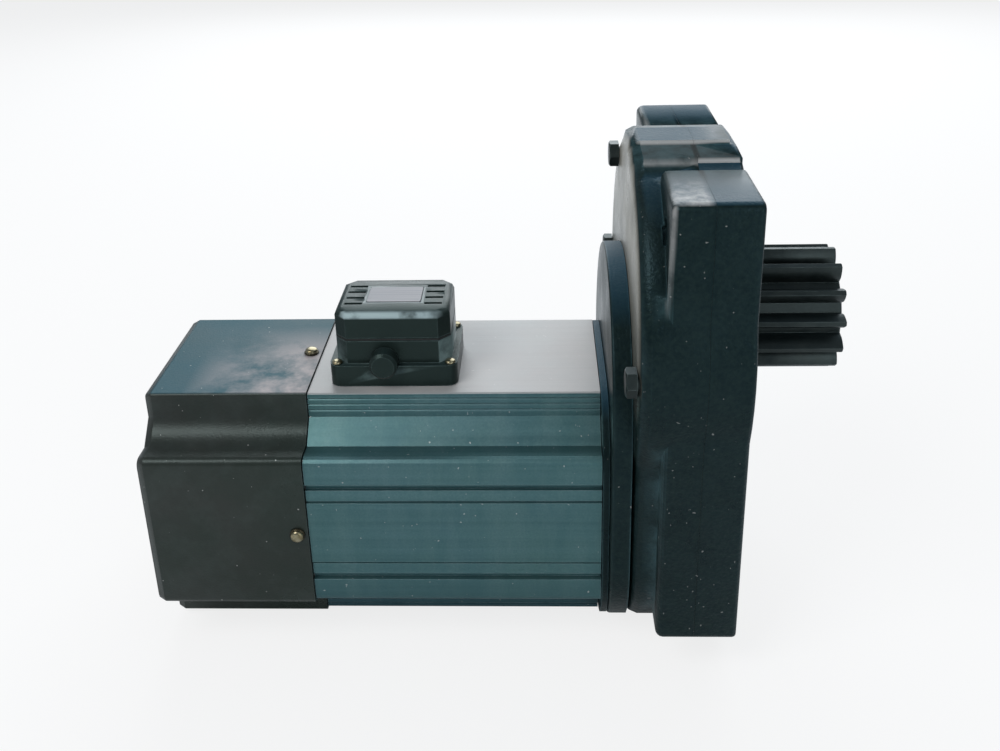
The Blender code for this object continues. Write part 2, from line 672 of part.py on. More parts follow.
# ---- fasteners ------------------------------------------------------------------
def pan_profile(shank_r, length, head_height, washer):
    """Profile of a pan head screw, head up, its seat at height 0."""
    head_r = shank_r * PAN_HEAD_RATIO
    seat = WASHER_THICKNESS if washer else 0
    top = seat + head_height
    points = [(0, top), (head_r * 0.6, top - head_height * 0.12),
              (head_r * 0.92, top - head_height * 0.45), (head_r, seat)]
    if washer:
        washer_r = shank_r * WASHER_RATIO
        points += [(washer_r, seat), (washer_r, 0)]
    return points + [(shank_r, 0), (shank_r, -length), (0, -length)]


def pan_screw(name, finish, matrix, shank_r, length, head_height, washer=False):
    return turned(name, finish, pan_profile(shank_r, length, head_height, washer), 10, matrix)


def hex_bolt(name, finish, x, y, z, flats, head_height, shank_r, length, facing):
    """Hexagon bolt along X with its head's seat at x, facing +1 or -1."""
    ends = sorted((x, x + facing * head_height))
    mesh, matrix = x_plate([hexagon(flats)], ends[0], ends[1], y, z, name)
    bolt = add_object(name, mesh, finish, matrix)
    reach = sorted((x + facing * head_height / 2, x - facing * length))
    join(bolt, x_cylinder(name + "_shank", shank_r, reach[0], reach[1], y, z, 8))
    return bolt


def ring_profile(x0, x1, inner_r, outer_r):
    return [(x0, inner_r), (x0, outer_r), (x1, outer_r), (x1, inner_r)]


def bearing(name, x0, width, inner_r, outer_r, y=0.0, z=AXIS_Z, steps=16):
    """Ball bearing as one turned ring, with a recess between its races."""
    x1 = x0 + width
    low = inner_r + (outer_r - inner_r) * RACE_SHARE
    high = outer_r - (outer_r - inner_r) * RACE_SHARE
    profile = [(x0, inner_r), (x0, low), (x0 + BEARING_GROOVE, low),
               (x0 + BEARING_GROOVE, high), (x0, high), (x0, outer_r),
               (x1, outer_r), (x1, inner_r)]
    return x_turned(name, STEEL, profile, steps, 0, y, z)


# ---- motor ------------------------------------------------------------------------
def build_body():
    mesh, matrix = x_plate([body_outline(grooved=True), circle(BODY_BORE_R)],
                           BODY_X, BODY_END_X, name="motor_body")
    add_object("motor_body", mesh, ANODISED, matrix)


def build_stator():
    """Laminated stack with open slots, and the end turns on both of its faces."""
    pitch = 360 / STATOR_SLOTS
    deep = STATOR_BORE_R + SLOT_DEPTH
    mouth = math.degrees(math.asin(SLOT_WIDTH / 2 / STATOR_BORE_R))
    floor = math.degrees(math.asin(SLOT_WIDTH / 2 / deep))
    bore = []
    for slot in range(STATOR_SLOTS):
        start = slot * pitch
        bore += arc(0, 0, STATOR_BORE_R, start + mouth, start + pitch - mouth, 1)
        bore += arc(0, 0, deep, start + pitch - floor, start + pitch + floor, 1)
    outer = circle(BODY_BORE_R - SEAT_GAP)
    mesh, matrix = x_plate([outer, bore], STACK_X, STACK_X + STACK_LENGTH, name="stator_core")
    add_object("stator_core", mesh, DARK_STEEL, matrix)
    inner_r = STATOR_BORE_R + WINDING_SETBACK
    outer_r = BODY_BORE_R - WINDING_ROOM
    middle = (inner_r + outer_r) / 2
    for name, x0, way in (("winding_rear", STACK_X - SEAT_GAP, -1),
                          ("winding_front", STACK_X + STACK_LENGTH + SEAT_GAP, 1)):
        far = way * WINDING_LENGTH
        near = far * WINDING_SHOULDER
        profile = [(0, inner_r), (near, inner_r), (far, middle - WINDING_CROWN_HALF),
                   (far, middle + WINDING_CROWN_HALF), (near, outer_r), (0, outer_r)]
        x_turned(name, COPPER, profile, 16, x0)


def build_rear_shield():
    """Rear bearing shield: a plate inside the cover with a spigot in the body's bore."""
    grow = COVER_PROUD - COVER_WALL - SEAT_GAP
    mesh, matrix = x_plate([body_outline(grow)], SHIELD_X, BODY_X - SEAT_GAP,
                           name="rear_end_shield")
    shield = add_object("rear_end_shield", mesh, ALUMINIUM, matrix)
    spigot_r = BODY_BORE_R - SEAT_GAP
    join(shield, x_turned("rear_spigot", None,
                          ring_profile(SHIELD_X + SHIELD_THICKNESS / 2, BODY_X + SPIGOT_DEPTH,
                                       spigot_r - SPIGOT_WALL, spigot_r), 24, as_cutter=True))
    seat = x_cylinder("rear_bearing_seat", REAR_BEARING_R + SEAT_GAP,
                      SHIELD_X - OVERCUT, BODY_X + SPIGOT_DEPTH + OVERCUT)
    cut(shield, seat)
    for name, matrix in cover_screw_places():
        hole = turned(name + "_hole", None,
                      [(0, OVERCUT), (COVER_SCREW_R + SEAT_GAP, OVERCUT),
                       (COVER_SCREW_R + SEAT_GAP, -COVER_SCREW_LENGTH - OVERCUT),
                       (0, -COVER_SCREW_LENGTH - OVERCUT)], 10, matrix, as_cutter=True)
        cut(shield, hole)
    bearing("rear_bearing", SHIELD_X + SEAT_GAP, REAR_BEARING_WIDTH,
            SHAFT_REAR_R + SEAT_GAP, REAR_BEARING_R)


def build_front_flange():
    """Front bearing shield: the thin dark flange between the body and the adapter."""
    across = BODY_ACROSS + 2 * FLANGE_PROUD
    outline = rounded_rectangle(across, across, FLANGE_CORNER_R, 5)
    flange_end = FLANGE_X + FLANGE_THICKNESS
    mesh, matrix = x_plate([outline], FLANGE_X, flange_end, name="front_flange")
    flange = add_object("front_flange", mesh, BLACK_PAINT, matrix)
    spigot_r = BODY_BORE_R - SEAT_GAP
    join(flange, x_turned("front_spigot", None,
                          ring_profile(BODY_END_X - SPIGOT_DEPTH, FLANGE_X + FLANGE_THICKNESS / 2,
                                       spigot_r - SPIGOT_WALL, spigot_r), 24, as_cutter=True))
    hub_x = flange_end - FRONT_BEARING_WIDTH - FLANGE_LIP
    join(flange, x_cylinder("front_hub", FRONT_BEARING_R + FLANGE_HUB_WALL, hub_x,
                            FLANGE_X + FLANGE_THICKNESS / 2))
    seat_x = flange_end - FRONT_BEARING_WIDTH - SEAT_GAP
    cut(flange, x_cylinder("front_bearing_seat", FRONT_BEARING_R + SEAT_GAP,
                           seat_x, flange_end + OVERCUT))
    cut(flange, x_cylinder("front_shaft_way", FRONT_BEARING_R - FLANGE_LIP_HEIGHT,
                           hub_x - OVERCUT, seat_x + OVERCUT))
    bearing("front_bearing", seat_x + SEAT_GAP, FRONT_BEARING_WIDTH - SEAT_GAP,
            SHAFT_FRONT_R + SEAT_GAP, FRONT_BEARING_R)


def cover_screw_places():
    """Names and placings of the four cover screws, one in the middle of each face."""
    reach = BODY_HALF + COVER_PROUD + SEAT_GAP
    x = BODY_X - COVER_SCREW_INSET
    places = []
    for name, turn in (("top", 0), ("near", 90), ("bottom", 180), ("far", 270)):
        spin = Matrix.Rotation(math.radians(turn), 4, "X")
        place = Matrix.Translation((x, 0, AXIS_Z)) @ spin @ Matrix.Translation((0, 0, reach))
        places.append(("cover_screw_" + name, place))
    return places


def build_rear_cover():
    """Moulded cap with the body's stepped outline, open towards the motor."""
    end_x = BODY_X - SEAT_GAP
    sections = rounded_end(lambda inset: body_outline(COVER_PROUD - inset), COVER_EDGE_R, 2)
    sections.append((body_outline(COVER_PROUD), end_x - COVER_X))
    cover = add_object("rear_cover", loft_mesh("rear_cover", sections), BLACK_PLASTIC,
                       Matrix.Translation((COVER_X, 0, AXIS_Z)) @ ALONG_X)
    mesh, matrix = x_plate([body_outline(COVER_PROUD - COVER_WALL)],
                           COVER_X + COVER_WALL, end_x + OVERCUT, name="cover_hollow")
    cut(cover, add_cutter("cover_hollow", mesh, matrix))
    for name, matrix in cover_screw_places():
        hole = turned(name + "_clearance", None,
                      [(0, OVERCUT), (COVER_SCREW_R + SEAT_GAP, OVERCUT),
                       (COVER_SCREW_R + SEAT_GAP, -COVER_WALL - OVERCUT),
                       (0, -COVER_WALL - OVERCUT)], 10, matrix, as_cutter=True)
        cut(cover, hole)
        pan_screw(name, BRASSY, matrix, COVER_SCREW_R, COVER_SCREW_LENGTH,
                  PAN_HEAD_HEIGHT, washer=True)


def build_brake_and_encoder():
    """Spring-applied holding brake on the rear shield, with the encoder behind it."""
    bore = SHAFT_REAR_R + SEAT_GAP
    disc_x = SHIELD_X - BRAKE_RUN_GAP - BRAKE_DISC_THICKNESS
    x_turned("brake_disc", DARK_STEEL,
             ring_profile(disc_x, disc_x + BRAKE_DISC_THICKNESS, bore,
                          BRAKE_R - BRAKE_DISC_SETBACK), 16)
    plate_x = disc_x - BRAKE_RUN_GAP - BRAKE_PLATE_THICKNESS
    x_turned("brake_armature", STEEL,
             ring_profile(plate_x, plate_x + BRAKE_PLATE_THICKNESS, BRAKE_HUB_R, BRAKE_R), 16)
    coil_x = plate_x - SEAT_GAP - BRAKE_COIL_LENGTH
    rear_r = SHAFT_REAR_R + BRAKE_SHAFT_ROOM
    x_turned("brake_magnet", DARK_STEEL,
             ring_profile(coil_x, coil_x + BRAKE_COIL_LENGTH, rear_r, BRAKE_R), 16)
    # The encoder is a cup, open towards the brake, screwed flat on the magnet's back.
    cup_end = coil_x - SEAT_GAP
    cup_x = cup_end - ENCODER_LENGTH
    profile = [(cup_x, 0), (cup_x, ENCODER_R), (cup_end, ENCODER_R),
               (cup_end, ENCODER_R - ENCODER_WALL),
               (cup_x + ENCODER_WALL, ENCODER_R - ENCODER_WALL), (cup_x + ENCODER_WALL, 0)]
    x_turned("encoder_body", BLACK_PLASTIC, profile, 16)
    disc_x = cup_x + ENCODER_LENGTH / 2
    x_turned("encoder_disc", ALUMINIUM,
             ring_profile(disc_x, disc_x + ENCODER_DISC_THICKNESS,
                          SHAFT_TAIL_R + SEAT_GAP, ENCODER_DISC_R), 16)
    return cup_x + ENCODER_WALL + SHAFT_CHAMFER, cup_end


def build_rotor(tail_x, tail_step_x):
    """Cage rotor on its stepped shaft, with the motor pinion on the nose."""
    rotor_r = STATOR_BORE_R - AIR_GAP
    x0 = STACK_X
    x1 = STACK_X + STACK_LENGTH
    bore = SHAFT_SEAT_R + SEAT_GAP
    profile = [(x0, bore), (x0, END_RING_INNER_R), (x0 - END_RING_LENGTH, END_RING_INNER_R),
               (x0 - END_RING_LENGTH, END_RING_OUTER_R), (x0, END_RING_OUTER_R), (x0, rotor_r),
               (x1, rotor_r), (x1, END_RING_OUTER_R), (x1 + END_RING_LENGTH, END_RING_OUTER_R),
               (x1 + END_RING_LENGTH, END_RING_INNER_R), (x1, END_RING_INNER_R), (x1, bore)]
    x_turned("rotor_core", DARK_STEEL, profile, 16)
    nose_x = FIRST_X
    nose_end = nose_x + FIRST_FACE
    shoulder_x = SHIELD_X + REAR_BEARING_WIDTH + 2 * SEAT_GAP
    profile = [(tail_x, 0), (tail_x, SHAFT_TAIL_R), (tail_step_x, SHAFT_TAIL_R),
               (tail_step_x, SHAFT_REAR_R), (shoulder_x, SHAFT_REAR_R),
               (shoulder_x + SHAFT_CHAMFER, SHAFT_SEAT_R),
               (x1 + SHAFT_SEAT_RUNOUT, SHAFT_SEAT_R),
               (x1 + SHAFT_SEAT_RUNOUT, SHAFT_FRONT_R), (nose_x - SEAT_GAP, SHAFT_FRONT_R),
               (nose_x - SEAT_GAP, SHAFT_NOSE_R), (nose_end, SHAFT_NOSE_R), (nose_end, 0)]
    x_turned("motor_shaft", STEEL, profile, 16)
    teeth = gear_outline(MOTOR_PINION_TEETH, FIRST_MODULE, math.atan2(LAY_UP, LAY_Y),
                         INNER_ADDENDUM, INNER_DEDENDUM)
    mesh, matrix = x_plate([teeth, circle(SHAFT_NOSE_R + SEAT_GAP, 16)],
                           nose_x, nose_end, name="motor_pinion")
    add_object("motor_pinion", mesh, STEEL, matrix)


# ---- gear train -------------------------------------------------------------------
def build_layshaft():
    """Layshaft: the first gear overhangs in the adapter, the pinion runs in the case."""
    toward_motor = math.atan2(-LAY_UP, -LAY_Y)
    toward_output = math.atan2(OUTPUT_HEIGHT - LAY_UP, -LAY_Y)
    gear_x = FIRST_X
    gear_end = gear_x + FIRST_FACE
    teeth = gear_outline(LAY_GEAR_TEETH, FIRST_MODULE, toward_motor + math.pi / LAY_GEAR_TEETH,
                         INNER_ADDENDUM, INNER_DEDENDUM)
    mesh, matrix = x_plate([teeth, circle(LAY_SHAFT_R + SEAT_GAP, 16)], gear_x, gear_end,
                           LAY_Y, LAY_Z, "lay_gear")
    add_object("lay_gear", mesh, STEEL, matrix)
    pinion_x = SECOND_X - PINION_OVERLAP
    pinion_end = SECOND_X + SECOND_FACE + PINION_OVERLAP
    shoulder_x = pinion_x - SHAFT_CHAMFER
    shaft_end = CASE_END_X - CASE_FRONT_WALL + LAY_BEARING_WIDTH
    profile = [(gear_x, 0), (gear_x, LAY_SHAFT_R), (shoulder_x, LAY_SHAFT_R),
               (shoulder_x, LAY_SHAFT_SEAT_R), (pinion_end, LAY_SHAFT_SEAT_R),
               (pinion_end, LAY_SHAFT_R), (shaft_end, LAY_SHAFT_R), (shaft_end, 0)]
    x_turned("lay_shaft", STEEL, profile, 16, 0, LAY_Y, LAY_Z)
    teeth = gear_outline(LAY_PINION_TEETH, SECOND_MODULE, toward_output,
                         INNER_ADDENDUM, INNER_DEDENDUM)
    mesh, matrix = x_plate([teeth, circle(LAY_SHAFT_SEAT_R + SEAT_GAP, 16)],
                           pinion_x, pinion_end - SEAT_GAP, LAY_Y, LAY_Z, "lay_pinion")
    add_object("lay_pinion", mesh, STEEL, matrix)
    bearing("lay_bearing_rear", CASE_X + SEAT_GAP, LAY_BEARING_WIDTH,
            LAY_SHAFT_R + SEAT_GAP, LAY_BEARING_R, LAY_Y, LAY_Z, 12)
    bearing("lay_bearing_front", CASE_END_X - CASE_FRONT_WALL + SEAT_GAP, LAY_BEARING_WIDTH,
            LAY_SHAFT_R + SEAT_GAP, LAY_BEARING_R, LAY_Y, LAY_Z, 12)


def build_output_shaft():
    """Output gear, shaft and the toothed output pinion with its end washer."""
    bearing_x = CASE_X + BEARING_FLOOR + SEAT_GAP
    bearing("output_bearing_rear", bearing_x, INNER_BEARING_WIDTH,
            OUTPUT_INNER_R + SEAT_GAP, INNER_BEARING_R, 0, OUTPUT_Z, 20)
    gear_x = SECOND_X
    gear_end = gear_x + SECOND_FACE
    toward_lay = math.atan2(LAY_UP - OUTPUT_HEIGHT, LAY_Y)
    teeth = gear_outline(OUTPUT_GEAR_TEETH, SECOND_MODULE,
                         toward_lay + math.pi / OUTPUT_GEAR_TEETH,
                         INNER_ADDENDUM, INNER_DEDENDUM)
    mesh, matrix = x_plate([teeth, circle(OUTPUT_SEAT_R + SEAT_GAP, 16)], gear_x, gear_end,
                           0, OUTPUT_Z, "output_gear")
    add_object("output_gear", mesh, STEEL, matrix)
    step_x = bearing_x + INNER_BEARING_WIDTH + SEAT_GAP
    outer_x = gear_end + OUTPUT_SEAT_RUNOUT
    shaft_end = PINION_X + PINION_LENGTH - PINION_COUNTERBORE_DEPTH
    profile = [(bearing_x, 0), (bearing_x, OUTPUT_INNER_R), (step_x, OUTPUT_INNER_R),
               (step_x, OUTPUT_SEAT_R), (outer_x, OUTPUT_SEAT_R), (outer_x, OUTPUT_OUTER_R),
               (shaft_end, OUTPUT_OUTER_R), (shaft_end, 0)]
    shaft = x_turned("output_shaft", STEEL, profile, 16, 0, 0, OUTPUT_Z)
    cut(shaft, x_cylinder("end_bolt_hole", END_BOLT_R + SEAT_GAP,
                          shaft_end - END_BOLT_LENGTH - OVERCUT, shaft_end + OVERCUT,
                          0, OUTPUT_Z, 8))
    bearing("output_bearing_front", OUTER_BOSS_X, OUTER_BEARING_WIDTH,
            OUTPUT_OUTER_R + SEAT_GAP, OUTER_BEARING_R, 0, OUTPUT_Z, 20)
    seal_x = OUTER_BOSS_X + OUTER_BEARING_WIDTH + SEAT_GAP
    x_turned("output_seal", RUBBER,
             ring_profile(seal_x, CASE_END_X + SEAL_PROUD, OUTPUT_OUTER_R + SEAT_GAP, SEAL_R),
             24, 0, 0, OUTPUT_Z)


def build_output_pinion():
    teeth = gear_outline(PINION_TEETH, PINION_MODULE, math.radians(PINION_TURN),
                         PINION_ADDENDUM, PINION_DEDENDUM, 3)
    mesh, matrix = x_plate([teeth, circle(OUTPUT_OUTER_R + SEAT_GAP, 24)],
                           PINION_X, PINION_X + PINION_LENGTH, 0, OUTPUT_Z, "output_pinion")
    pinion = add_object("output_pinion", mesh, DARK_STEEL, matrix)
    end = PINION_X + PINION_LENGTH
    shelf_x = end - PINION_COUNTERBORE_DEPTH
    cut(pinion, x_cylinder("pinion_counterbore", PINION_COUNTERBORE_R, shelf_x, end + OVERCUT,
                           0, OUTPUT_Z, 24))
    washer_x = shelf_x + SEAT_GAP
    washer_end = washer_x + END_WASHER_THICKNESS
    x_turned("pinion_washer", STEEL,
             ring_profile(washer_x, washer_end, END_BOLT_R + SEAT_GAP,
                          PINION_COUNTERBORE_R - SEAT_GAP), 24, 0, 0, OUTPUT_Z)
    hex_bolt("pinion_bolt", STEEL, washer_end + SEAT_GAP, 0, OUTPUT_Z, END_BOLT_HEAD_FLATS,
             END_BOLT_HEAD_HEIGHT, END_BOLT_R, END_BOLT_LENGTH, 1)


# ---- adapter and gear case ------------------------------------------------------------
def case_bolt_places():
    """Names and (y, height above the motor axis) of the case bolts, heads to the rear."""
    radius = OUTPUT_GEAR_ROOM_R + CASE_BOLT_SETBACK
    places = []
    for name, angle in CASE_BOLT_ANGLES:
        turn = math.radians(angle)
        places.append(("case_bolt_" + name, radius * math.cos(turn),
                       OUTPUT_HEIGHT + radius * math.sin(turn)))
    return places


def gear_room(x0, x1):
    """Cutters for the cavity round the output gear and the layshaft pinion."""
    return [x_cylinder("output_gear_room", OUTPUT_GEAR_ROOM_R, x0, x1,
                       0, OUTPUT_Z, 32),
            x_cylinder("lay_pinion_room", LAY_PINION_TIP_R + GEAR_ROOM, x0, x1, LAY_Y, LAY_Z)]


def build_adapter():
    """Arched plate that holds the case to the motor, with a pocket for the first gears."""
    mesh, matrix = x_plate([adapter_outline()], ADAPTER_X, ADAPTER_END_X, name="adapter_housing")
    adapter = add_object("adapter_housing", mesh, BLACK_PAINT, matrix)
    pocket_x = ADAPTER_X + ADAPTER_WEB
    pocket_end = ADAPTER_END_X + OVERCUT
    cut(adapter, x_cylinder("lay_gear_pocket", LAY_GEAR_TIP_R + POCKET_ROOM, pocket_x, pocket_end,
                            LAY_Y, LAY_Z, 32))
    cut(adapter, x_cylinder("motor_pinion_pocket", MOTOR_PINION_TIP_R + POCKET_ROOM, pocket_x,
                            pocket_end))
    cut(adapter, x_cylinder("motor_shaft_way", SHAFT_FRONT_R + SHAFT_WAY_ROOM,
                            ADAPTER_X - OVERCUT, pocket_end))


def build_case():
    """Two castings that part in the middle of the lugs."""
    mesh, matrix = x_plate([case_front_outline()], LUG_X, SPLIT_X, name="gear_case_inner")
    inner = add_object("gear_case_inner", mesh, BLACK_PAINT, matrix)
    outline = case_back_outline()
    sections = rounded_end(lambda inset: inset_outline(outline, inset), CASE_BACK_EDGE_R, 2)
    sections.append((outline, CASE_BACK_LENGTH + OVERCUT))
    join(inner, add_cutter("case_back", loft_mesh("case_back", sections),
                           Matrix.Translation((CASE_X, 0, AXIS_Z)) @ ALONG_X))
    wall_end = CASE_X + CASE_WALL_REAR
    for tool in gear_room(wall_end, SPLIT_X + OVERCUT):
        cut(inner, tool)
    mesh, matrix = x_plate([case_front_outline()], SPLIT_X + SEAT_GAP, CASE_END_X,
                           name="gear_case_outer")
    outer = add_object("gear_case_outer", mesh, BLACK_PAINT, matrix)
    pad_room = OVERCUT + CASE_PAD + CASE_SHOULDER_START
    cut(outer, block("pad_end", (CASE_PAD_SETBACK + OVERCUT, 2 * CASE_PAD_HALF + OVERCUT, pad_room),
                     (CASE_END_X + (OVERCUT - CASE_PAD_SETBACK) / 2, 0,
                      OUTPUT_Z + CASE_R - CASE_SHOULDER_START + pad_room / 2)))
    front_wall_x = CASE_END_X - CASE_FRONT_WALL
    for tool in gear_room(SPLIT_X, front_wall_x):
        cut(outer, tool)
    build_case_seats(inner, outer, wall_end, front_wall_x)


def build_case_seats(inner, outer, wall_end, front_wall_x):
    """Bearing bosses, bores and bolt holes of both castings."""
    seat_x = CASE_X + BEARING_FLOOR
    inner_boss_r = INNER_BEARING_R + SEAT_GAP + BOSS_WALL
    join(inner, x_cylinder("inner_boss", inner_boss_r, wall_end - OVERCUT,
                           seat_x + INNER_BEARING_WIDTH - BEARING_PROUD, 0, OUTPUT_Z))
    cut(inner, x_cylinder("inner_seat", INNER_BEARING_R + SEAT_GAP, seat_x, SPLIT_X,
                          0, OUTPUT_Z, 20))
    lay_boss_r = LAY_BEARING_R + SEAT_GAP + LAY_BOSS_WALL
    join(inner, x_cylinder("lay_boss", lay_boss_r, wall_end - OVERCUT,
                           CASE_X + LAY_BEARING_WIDTH, LAY_Y, LAY_Z))
    cut(inner, x_cylinder("lay_seat_rear", LAY_BEARING_R + SEAT_GAP, CASE_X - OVERCUT, SPLIT_X,
                          LAY_Y, LAY_Z))
    outer_boss_r = OUTER_BEARING_R + SEAT_GAP + BOSS_WALL
    join(outer, x_cylinder("outer_boss", outer_boss_r, OUTER_BOSS_X, front_wall_x + OVERCUT,
                           0, OUTPUT_Z))
    cut(outer, x_cylinder("outer_seat", OUTER_BEARING_R + SEAT_GAP, OUTER_BOSS_X - OVERCUT,
                          OUTER_BOSS_X + OUTER_BEARING_WIDTH + SEAT_GAP / 2, 0, OUTPUT_Z, 20))
    cut(outer, x_cylinder("seal_seat", SEAL_R + SEAT_GAP, OUTER_BOSS_X, CASE_END_X + OVERCUT,
                          0, OUTPUT_Z, 24))
    cut(outer, x_cylinder("lay_seat_front", LAY_BEARING_R + SEAT_GAP, front_wall_x - OVERCUT,
                          front_wall_x + LAY_BEARING_WIDTH + 2 * SEAT_GAP, LAY_Y, LAY_Z))
    for name, y, up in case_bolt_places():
        z = AXIS_Z + up
        hole = x_cylinder(name + "_hole", CASE_BOLT_R + SEAT_GAP, CASE_X - OVERCUT,
                          CASE_X + CASE_BOLT_LENGTH + OVERCUT, y, z, 8)
        cut(inner, hole)
        cut(outer, hole)
        hex_bolt(name, DARK_STEEL, CASE_X - SEAT_GAP, y, z, CASE_BOLT_HEAD_FLATS,
                 CASE_BOLT_HEAD_HEIGHT, CASE_BOLT_R, CASE_BOLT_LENGTH, -1)
    for name, y, up in lug_hole_places():
        hole = x_cylinder(name, LUG_BOLT_HOLE_R, LUG_X - OVERCUT, CASE_END_X + OVERCUT,
                          y, AXIS_Z + up, 16)
        cut(inner, hole)
        cut(outer, hole)


def lug_hole_places():
    """Mounting holes through the lugs: names, y and height above the motor axis."""
    y = LUG_HALF_WIDTH - LUG_HOLE_INSET
    return [("lug_hole_near_top", -y, LUG_TOP - LUG_HOLE_INSET),
            ("lug_hole_far_top", y, LUG_TOP - LUG_HOLE_INSET)]


# ---- terminal box ---------------------------------------------------------------------
def build_terminal_box():
    """Box base with plinth, gasket and ribbed lid."""
    wall_w = BOX_WIDTH - 2 * BOX_INSET
    wall_d = BOX_DEPTH - 2 * BOX_INSET
    plinth_top = BOX_TOP_Z + BOX_PLINTH_HEIGHT
    wall_top = plinth_top + BOX_WALL_HEIGHT
    mesh, matrix = z_plate([rounded_rectangle(BOX_WIDTH, BOX_DEPTH, BOX_CORNER_R)],
                           BOX_TOP_Z, plinth_top, BOX_X, BOX_CENTRE_Y, "terminal_box_base")
    base = add_object("terminal_box_base", mesh, BLACK_PLASTIC, matrix)
    wall = notched_rectangle(wall_w, wall_d)
    mesh, matrix = z_plate([wall], plinth_top - OVERCUT, wall_top, BOX_X, BOX_CENTRE_Y,
                           "box_walls")
    join(base, add_cutter("box_walls", mesh, matrix))
    hollow = rounded_rectangle(wall_w - 2 * BOX_WALL - 2 * BOX_SCREW_INSET,
                               wall_d - 2 * BOX_WALL, HOLLOW_CORNER_R, 2)
    mesh, matrix = z_plate([hollow], BOX_TOP_Z + BOX_FLOOR, wall_top + OVERCUT,
                           BOX_X, BOX_CENTRE_Y, "box_hollow")
    cut(base, add_cutter("box_hollow", mesh, matrix))
    mesh, matrix = z_plate([wall, hollow], wall_top + SEAT_GAP,
                           wall_top + SEAT_GAP + GASKET_THICKNESS, BOX_X, BOX_CENTRE_Y,
                           "terminal_box_gasket")
    add_object("terminal_box_gasket", mesh, RUBBER, matrix)
    build_box_plug(base, plinth_top)
    build_box_screws(base, plinth_top)
    build_terminal_board()
    build_lid(wall)


def notched_rectangle(width, depth):
    """Rectangle whose corners are cut away for the corner screws."""
    half_w = width / 2
    half_d = depth / 2
    half = [(half_w - BOX_NOTCH, half_d), (half_w, half_d - BOX_NOTCH),
            (half_w, -half_d + BOX_NOTCH), (half_w - BOX_NOTCH, -half_d)]
    return mirrored(half)


def build_box_plug(base, plinth_top):
    """Round blanking plug in the cable entry of the near wall."""
    wall_y = BOX_CENTRE_Y - BOX_DEPTH / 2 + BOX_INSET
    x = BOX_X - PLUG_OFFSET
    z = plinth_top + PLUG_RISE
    turn = Matrix.Rotation(math.radians(90), 4, "X")
    place = Matrix.Translation((x, wall_y - SEAT_GAP, z)) @ turn
    hole = turned("plug_hole", None,
                  [(0, PLUG_HEAD_LENGTH), (PLUG_THREAD_R + SEAT_GAP, PLUG_HEAD_LENGTH),
                   (PLUG_THREAD_R + SEAT_GAP, -BOX_WALL - OVERCUT),
                   (0, -BOX_WALL - OVERCUT)], 16, place, as_cutter=True)
    spot = turned("plug_spot_face", None,
                  [(0, PLUG_HEAD_LENGTH), (PLUG_R + SEAT_GAP, PLUG_HEAD_LENGTH),
                   (PLUG_R + SEAT_GAP, -PLUG_SPOT_DEPTH), (0, -PLUG_SPOT_DEPTH)],
                  20, place, as_cutter=True)
    cut(base, hole)
    cut(base, spot)
    profile = [(0, PLUG_HEAD_LENGTH), (PLUG_R - PLUG_EDGE, PLUG_HEAD_LENGTH),
               (PLUG_R, PLUG_HEAD_LENGTH - PLUG_EDGE), (PLUG_R, 0), (PLUG_THREAD_R, 0),
               (PLUG_THREAD_R, -BOX_WALL), (0, -BOX_WALL)]
    turned("cable_entry_plug", BLACK_PLASTIC, profile, 20, place)


def build_box_screws(base, plinth_top):
    seat_z = plinth_top + SEAT_GAP
    u = BOX_WIDTH / 2 - BOX_SCREW_INSET
    v = BOX_DEPTH / 2 - BOX_SCREW_INSET
    for name, sx, sy in (("near_left", -1, -1), ("near_right", 1, -1),
                         ("far_left", -1, 1), ("far_right", 1, 1)):
        place = Matrix.Translation((BOX_X + sx * u, BOX_CENTRE_Y + sy * v, seat_z))
        radius = BOX_SCREW_R + SEAT_GAP
        hole = turned("box_hole_" + name, None,
                      [(0, OVERCUT), (radius, OVERCUT), (radius, -BOX_SCREW_LENGTH - OVERCUT),
                       (0, -BOX_SCREW_LENGTH - OVERCUT)], 10, place, as_cutter=True)
        cut(base, hole)
        pan_screw("box_screw_" + name, BRASSY, place, BOX_SCREW_R, BOX_SCREW_LENGTH,
                  BOX_SCREW_HEAD)


def build_terminal_board():
    z0 = BOX_TOP_Z + BOX_FLOOR + SEAT_GAP
    mesh, matrix = z_plate([rounded_rectangle(BOARD_LENGTH, BOARD_WIDTH, HOLLOW_CORNER_R, 2)], z0,
                           z0 + BOARD_THICKNESS, BOX_X, BOX_CENTRE_Y, "terminal_board")
    board = add_object("terminal_board", mesh, BRASSY, matrix)
    for number in range(STUDS):
        x = BOX_X + (number - (STUDS - 1) / 2) * STUD_PITCH
        place = Matrix.Translation((x, BOX_CENTRE_Y, z0 + BOARD_THICKNESS + SEAT_GAP))
        sunk = STUD_FLOOR - BOARD_THICKNESS
        radius = STUD_R + SEAT_GAP
        cut(board, turned("stud_hole_%d" % (number + 1), None,
                          [(0, OVERCUT), (radius, OVERCUT), (radius, sunk - SEAT_GAP),
                           (0, sunk - SEAT_GAP)], 8, place, as_cutter=True))
        turned("terminal_stud_%d" % (number + 1), BRASSY,
               [(0, STUD_HEIGHT), (STUD_R, STUD_HEIGHT), (STUD_R, STUD_NUT_HEIGHT),
                (2 * STUD_R, STUD_NUT_HEIGHT), (2 * STUD_R, 0), (STUD_R, 0), (STUD_R, sunk),
                (0, sunk)], 8, place)


